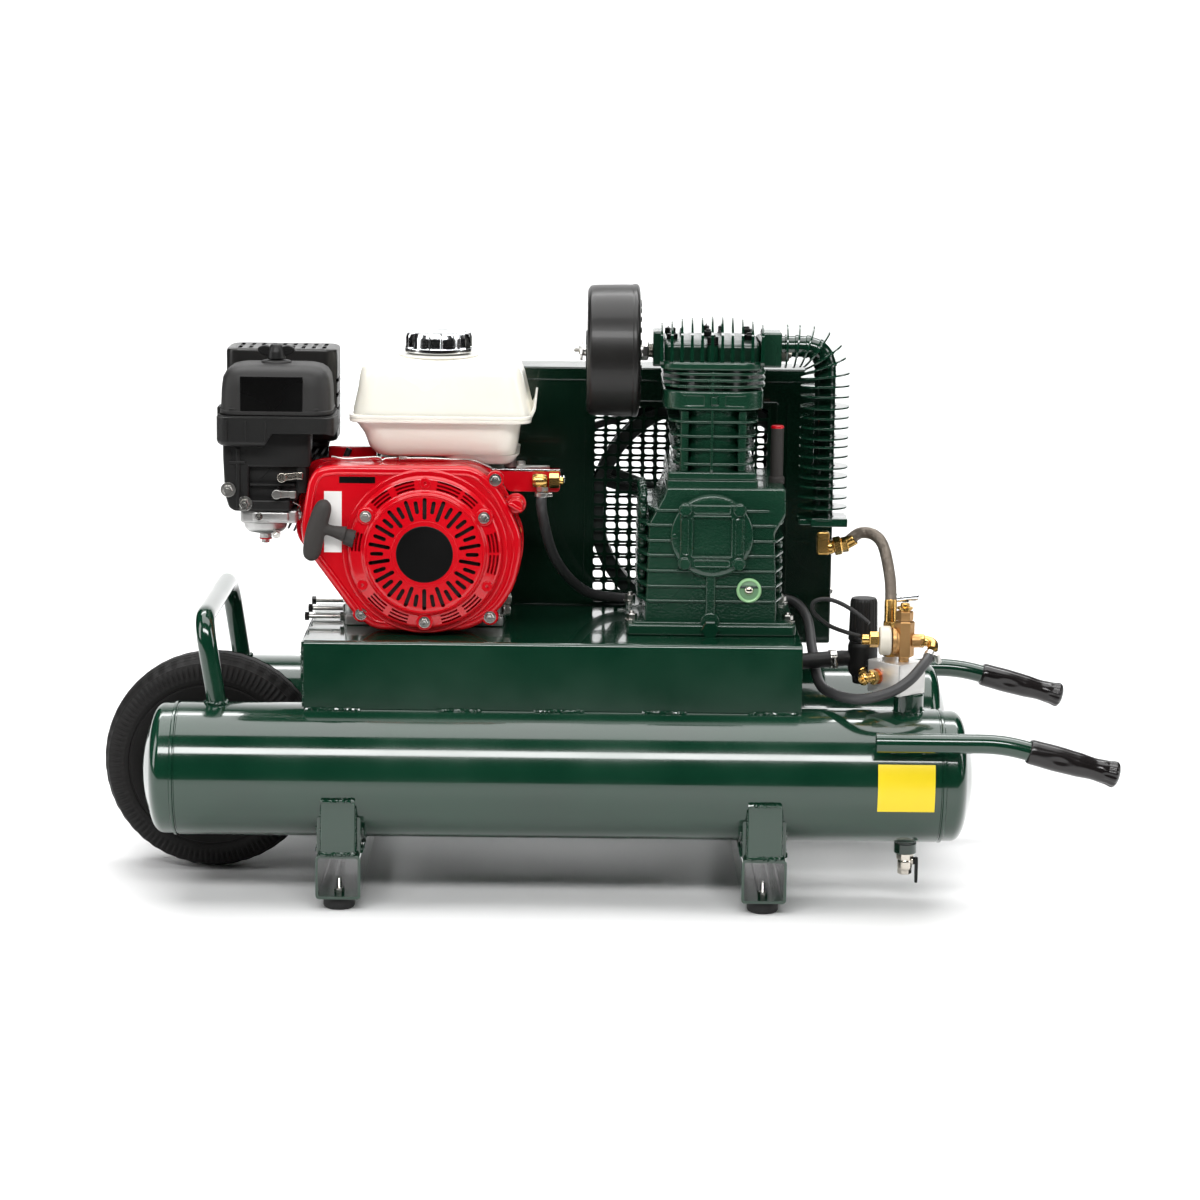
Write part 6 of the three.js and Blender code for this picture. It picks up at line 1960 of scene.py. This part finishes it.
def discharge_hose():
    outward = (0.98, 0, 0.2)
    elbow = [
        block(251.6, 266.4, -31.4, -16.6, 384, 411, 2.2),
        revolve([(0, 0), (8.4, 0), (8.4, 4), (7, 8), (0, 8)], (265, -24, 392), outward, 32, 1),
        hexagon((272, -24, 393.4), outward, 19, 9),
        hexagon((281, -24, 395.2), (0.98, -0.05, 0.2), 16, 8),
    ]
    piece("discharge_elbow", elbow, "brass", replaces=["discharge_hose"])
    route = flowing(DISCHARGE, 8)
    piece("discharge_braid", braided(route, 6.2), "braid")
    down = (-0.01, -0.2, -1)
    end = Vector(DISCHARGE[-1])
    collars = [
        lathe(ring_section(5, 7.3, 26, 1), end - Vector(down).normalized() * 28, down, 32),
        hexagon(end + Vector((0, 0.4, 3)), (0, 0, -1), 15.5, 15),
        lathe(ring_section(5.6, 7.4, 12, 1), (286, -24.4, 397.4), (0.8, -0.2, 0.5), 32),
    ]
    piece("discharge_ferrules", collars, "brass")
    piece(
        "discharge_stub",
        [tube([(332, -116, 310), (332, -116, 280.6)], 6, 24), hexagon((332, -116, 281.4), (0, 0, 1), 15, 9)], "brass"
    )


def manifold():
    m = MANIFOLD
    about = (m["x"], m["y"], 0)
    body = block(
        m["x"] - m["half"], m["x"] + m["half"], m["y"] - m["deep"], m["y"] + m["deep"], m["low"], m["top"], 1.6, 1.0
    )
    edges = [
        block(
            m["x"] - m["half"] + 6, m["x"] - m["half"] + 18, m["y"] - m["deep"] - 0.6, m["y"] - m["deep"] + 2,
            m["low"] + 5, m["low"] + 7, 0.4
        )
    ]
    piece("manifold_body", [turn(merged([body, *edges]), m["turn"], "Z", about)], "mill", replaces=["manifold_block"])
    riser_x, riser_y = 352, -145
    riser = [
        lathe([(0, 0), (17, 0), (17, 24), (15.4, 26), (0, 26)], (riser_x, riser_y, 218), (0, 0, 1), 48),
        weld(ring_path((riser_x, riser_y, 222), (0, 0, 1), 17.4), 2.4, closed=True),
    ]
    piece("manifold_riser", riser, "green")
    side = Vector((math.sin(m["turn"]), -math.cos(m["turn"]), -0.03))
    start = Vector((m["x"] - 6, m["y"] + 7, 264)) + side * m["deep"]
    piece("manifold_washer", [lathe(ring_section(4, 9, 2.4, 0.7), start, side, 36)], "copper")
    barrel = [
        revolve(
            [(0, 0), (7.2, 0), (7.2, 9), (5.6, 11), (5.6, 17), (7.4, 18.4), (7.4, 22), (5, 24), (0, 24)],
            start + side * 2, side, 32, 0.9
        ),
        hexagon(start + side * 4, side, 15.4, 7),
        lathe([(0, 0), (2.4, 0), (2.2, 3), (0, 3)], start + side * 25.6, side, 20),
    ]
    piece("manifold_outlet", barrel, "brass")


def regulator():
    x, y = REGULATOR_X, REGULATOR_Y
    body = [
        revolve(
            [(0, 0), (11, 0), (12, 8), (16, 13), (17.4, 20), (17.4, 44), (16, 49), (0, 49.6)], (x, y, 238), (0, 0, 1),
            48, 1.4
        ),
        revolve([(0, 0), (9, 0), (9, 14), (7.4, 16), (0, 16)], (x - 12, y, 267), (-1, 0, 0.02), 32, 1),
        tube([(x + 6, y - 12, 262), (x + 12, -112, 262)], 7, 24),
        hexagon((x + 8.6, y - 24, 262), (0.18, -1, 0), 17, 9),
    ]
    piece("regulator_casting", body, "black", replaces=["regulator_body"])
    gauge = [revolve([(0, 0), (6.4, 0), (6.4, 5), (5, 6), (0, 6)], (x, y - 16, 254), (0, -1, 0), 28, 0.8)]
    piece("regulator_plug", gauge, "brass")
    b = Span("regulator_knob")
    height = b.z1 - b.z0

    def grooves(a, q, h):
        return q * (1 - 0.05 * max(0.0, math.cos(20 * a)) ** 0.5) if q > 12 and 4 < h < height - 3 else q

    levels = [(0, 0), (16.6, 0), (17.2, 1.4), (17.2, 4.0), (16.8, 5.0)]
    levels += [(16.9 - 1.1 * t / 8, 5.4 + (height - 11) * t / 8) for t in range(9)]
    levels += [(15.4, height - 3.2), (14, height - 0.8), (11, height - 0.2), (0, height - 0.6)]
    cap = lathe(levels, (x, y, b.z0 + 0.3), (0, 0, 1), 160, grooves)
    piece("regulator_handle", [cap], "black", "regulator_adjuster", ["regulator_knob"], sharp=32)


def pilot_valve():
    x, y, z = PILOT_X, PILOT_Y, PILOT_Z
    body = [
        lathe([(0, 0), (6, 0), (6, 9), (0, 9)], (x, y, 280.4), (0, 0, 1), 24),
        hexagon((x, y, 287), (0, 0, 1), 20, 41),
        hexagon((x, y, 328.6), (0, 0, 1), 17, 11),
        revolve([(0, 0), (13.4, 0), (15.4, 3), (15.4, 8), (0, 8)], (x - 6, y, z), (-1, 0, 0), 48, 1.2),
        revolve([(0, 0), (8, 0), (7.6, 12), (0, 12)], (x + 8, y, z), (1, 0, 0), 32, 1),
    ]
    bend = flowing([(x + 16, y, z), (x + 27, y - 1, z - 0.5), (x + 32, y - 6, z - 3), (x + 31, y - 14, z - 8)], 6)
    stem = [(0, 0), (6.4, 0), (6.4, 2.4), (9, 3), (9, 5.4), (5.4, 6.4), (5.4, 9), (4.4, 10), (0, 10)]
    fittings = [
        tube(bend, 6.2, 24),
        hexagon((x + 17, y, z), (1, 0, 0), 14, 6),
        hexagon((x - 29, y, z + 1), (-1, 0, 0), 15.6, 11),
        revolve([(0, 0), (6, 0), (6, 8), (4.4, 9), (0, 9)], (x - 40, y, z + 1), (-1, 0, 0), 28, 0.8),
        lathe(stem, (x, y, 338.6), (0, 0, 1), 32),
    ]
    piece("pilot_valve_body", body, "bronze", replaces=["pilot_valve"])
    piece("pilot_valve_fittings", fittings, "brass")
    ring = fillet([(5, 0), (15.4, 0), (16.6, 1.4), (16.6, 11.6), (15.4, 13), (5, 13)], 0.8, 3, True)
    piece("pilot_valve_ring", [lathe(ring + [ring[0]], (x - 15.4, y, z), (-1, 0, 0), 56)], "nylon")
    px, py, pz = joint_point("toggle_flip")
    bar = revolve(
        [(0, 0), (4.4, 0), (5.0, 3), (4.2, 13), (5.0, 23), (4.4, 26), (0, 26.4)], (px - 10.6, py, pz + 1),
        (0.995, 0, 0.1), 32, 1.2
    )
    cheek = slab(
        fillet([(px - 4, pz - 4), (px + 4, pz - 4), (px + 4.4, pz + 3), (px - 4.4, pz + 3)], 1.6, 3, True), "xz",
        py - 3.4, py + 3.4, 1
    )
    piece("pilot_toggle", [bar, cheek], "chrome", "unloader_toggle", ["toggle_lever"])


def hoses():
    piece("supply_hose_rubber", [tube(flowing(SUPPLY, 8), 9.3, 28)], "rubber", replaces=["supply_hose"])
    piece("unloader_hose_rubber", [tube(flowing(UNLOADER, 7), 6.1, 24)], "hose", replaces=["unloader_hose"])
    clips = [
        clamp((271, -60.4, 266.4), (1, 0.16, 0.05), 9.8, 8),
        clamp((372.6, -169, 291.4), (0.35, 0.7, 0.5), 6.6, 6),
        clamp((143.4, -93.6, 226), (0, 0, 1), 9.8, 7),
    ]
    piece("hose_clamps", clips, "steel")
    piece("pilot_tube", [tube(flowing(PILOT_TUBE, 7), 2.5, 16)], "rubber")


def drain():
    v, lever = Span("drain_valve"), Span("drain_lever")
    x, y = v.x, v.y
    piece(
        "drain_coupling",
        [lathe(fillet([(0, 0), (12, 0), (13, 1), (13, 12), (0, 12)], 0.8, 3), (x, y, 56.5), (0, 0, 1), 40),
         weld(ring_path((x, y, 72), (0, 0, 1), 13.4), 2.0, closed=True)],
        "green", replaces=["drain_valve"],
    )
    body = [
        hexagon((x, y, 49), (0, 0, 1), 17, 8),
        revolve([(0, 0), (7, 0), (8.4, 4), (8.4, 12), (7, 15), (0, 15)], (x, y, 35), (0, 0, 1), 32, 1.2),
        hexagon((x, y, 32), (0, 0, 1), 14, 6),
        lathe([(0, 0), (5, 0), (5, 8), (0, 8)], (x + 1, y, 47), (1, 0, 0), 24),
    ]
    piece("drain_cock", body, "nickel")
    _, py, pz = joint_point("drain_turn")
    hub = revolve([(0, 0), (4.2, 0), (4.2, 6.6), (0, 6.6)], (x + 8.5, py, pz), (1, 0, 0), 24, 0.6)
    grip = fillet(
        [
            (py - 5, pz + 4), (py + 5, pz + 4), (py + 5.4, pz - 18), (py + 3, lever.z0), (py - 3, lever.z0),
            (py - 5.4, pz - 18)
        ],
        2.4, 3, True
    )
    arm = slab(grip, "yz", lever.x1 - 3.2, lever.x1, 0.8)
    piece("drain_lever_arm", [hub, arm], "black", "drain", ["drain_lever"])


def air_circuit():
    discharge_hose()
    manifold()
    regulator()
    pilot_valve()
    hoses()
    drain()


# ------------------------------------------------------------------ camera, light and floor
CAMERA_AT = (-0.034, -3.931, 0.998)  # metres
CAMERA_TURN = (0.49, 9.75, 0.73)  # yaw, pitch and roll, degrees
LENS, SENSOR = 101.49, 36  # mm
FLOOR_FRONT = -1.2  # metres; the floor nearer than this isn't mirrored in the paint
FLOOR_REACH = 2.5  # metres from the middle to the sides and to the front edge of the floor


def camera():
    """Long lens, a little above the deck, level with the middle of the object."""
    yaw, pitch, roll = (math.radians(a) for a in CAMERA_TURN)
    across = Vector((math.cos(yaw), -math.sin(yaw), 0))
    forward = Vector((math.sin(yaw) * math.cos(pitch), math.cos(yaw) * math.cos(pitch), -math.sin(pitch)))
    up = across.cross(forward)
    right = across * math.cos(roll) + up * math.sin(roll)
    top = up * math.cos(roll) - across * math.sin(roll)
    data = bpy.data.cameras.new("camera")
    data.lens = LENS
    data.sensor_width = SENSOR
    data.clip_end = 100
    obj = bpy.data.objects.new("camera", data)
    place = Matrix([[right[i], top[i], -forward[i], 0] for i in range(3)] + [[0, 0, 0, 1]])
    place.translation = Vector(CAMERA_AT)
    obj.matrix_world = place
    bpy.context.scene.collection.objects.link(obj)
    bpy.context.scene.camera = obj


def softbox(name, place, aim, size, power):
    """Rectangular area light pointed at a spot."""
    data = bpy.data.lights.new(name, "AREA")
    data.shape = "RECTANGLE"
    data.size, data.size_y = size
    data.energy = power
    lamp = bpy.data.objects.new(name, data)
    lamp.location = place
    lamp.rotation_euler = (Vector(aim) - Vector(place)).to_track_quat("-Z", "Y").to_euler()
    bpy.context.scene.collection.objects.link(lamp)


def sheet(name, profile, finish):
    """Floor sheet between the sides of the floor, along a line of (y, z) points in metres."""
    mesh = bpy.data.meshes.new(name)
    n = len(profile)
    mesh.from_pydata(
        [(x, y, z) for x in (-FLOOR_REACH, FLOOR_REACH) for y, z in profile], [],
        [(i, i + 1, n + i + 1, n + i) for i in range(n - 1)]
    )
    for face in mesh.polygons:
        face.use_smooth = True
    obj = bpy.data.objects.new(name, mesh)
    bpy.context.scene.collection.objects.link(obj)
    mesh.materials.append(finish)
    return obj


def studio():
    """White floor that curves up into a backdrop, an overhead softbox, and strips in front and at the sides."""
    white = surface("white_floor", (0.86, 0.86, 0.86), 0.6, tint=0.01, patch=1.0, bump=0.0)
    sweep = [(2.6 + 1.6 * math.sin(a), 1.6 - 1.6 * math.cos(a)) for a in (math.pi / 2 * i / 12 for i in range(13))]
    sheet("floor", [(FLOOR_FRONT, 0.0), *sweep, (4.2, 5.0)], white)
    apron = sheet("apron", [(-FLOOR_REACH, 0.0), (FLOOR_FRONT, 0.0)], white)
    apron.visible_glossy = False
    world = bpy.data.worlds.new("studio")
    bpy.context.scene.world = world
    world.use_nodes = True
    back = world.node_tree.nodes["Background"]
    back.inputs["Color"].default_value = (1, 1, 1, 1)
    back.inputs["Strength"].default_value = 0.9
    world.cycles_visibility.diffuse = False
    world.cycles_visibility.glossy = False
    softbox("overhead", (0, 0.3, 2.9), (0, 0.2, 0), (3.6, 3.0), 112)
    softbox("front_strip", (-0.3, -2.6, 2.3), (0, 0, 0.3), (3.4, 0.6), 90)
    softbox("left_side", (-3.2, -0.8, 1.4), (0, 0, 0.4), (1.2, 2.2), 34)
    softbox("right_side", (3.2, -0.6, 1.5), (0, 0, 0.4), (1.2, 2.2), 34)
    softbox("backdrop_light", (0, 1.6, 3.4), (0, 3.8, 0.6), (5.0, 1.0), 140)
    bpy.context.scene.view_settings.view_transform = "Standard"


def carried_over():
    """CAD pieces that stay as they are, with their finishes."""
    slots = {row["node"]: row["material_slot"] for row in frame["record"]["subparts"]}
    by_slot = {slot: finish for finish, slot in reversed(SLOT_OF.items())}
    for node, obj in frame["nodes"].items():
        if obj.hide_render:
            continue
        obj.data.materials.clear()
        obj.data.materials.append(FINISHES[by_slot[slots[node]]])


camera()
studio()
chassis()
engine()
pump()
air_circuit()
blank_labels()
carried_over()
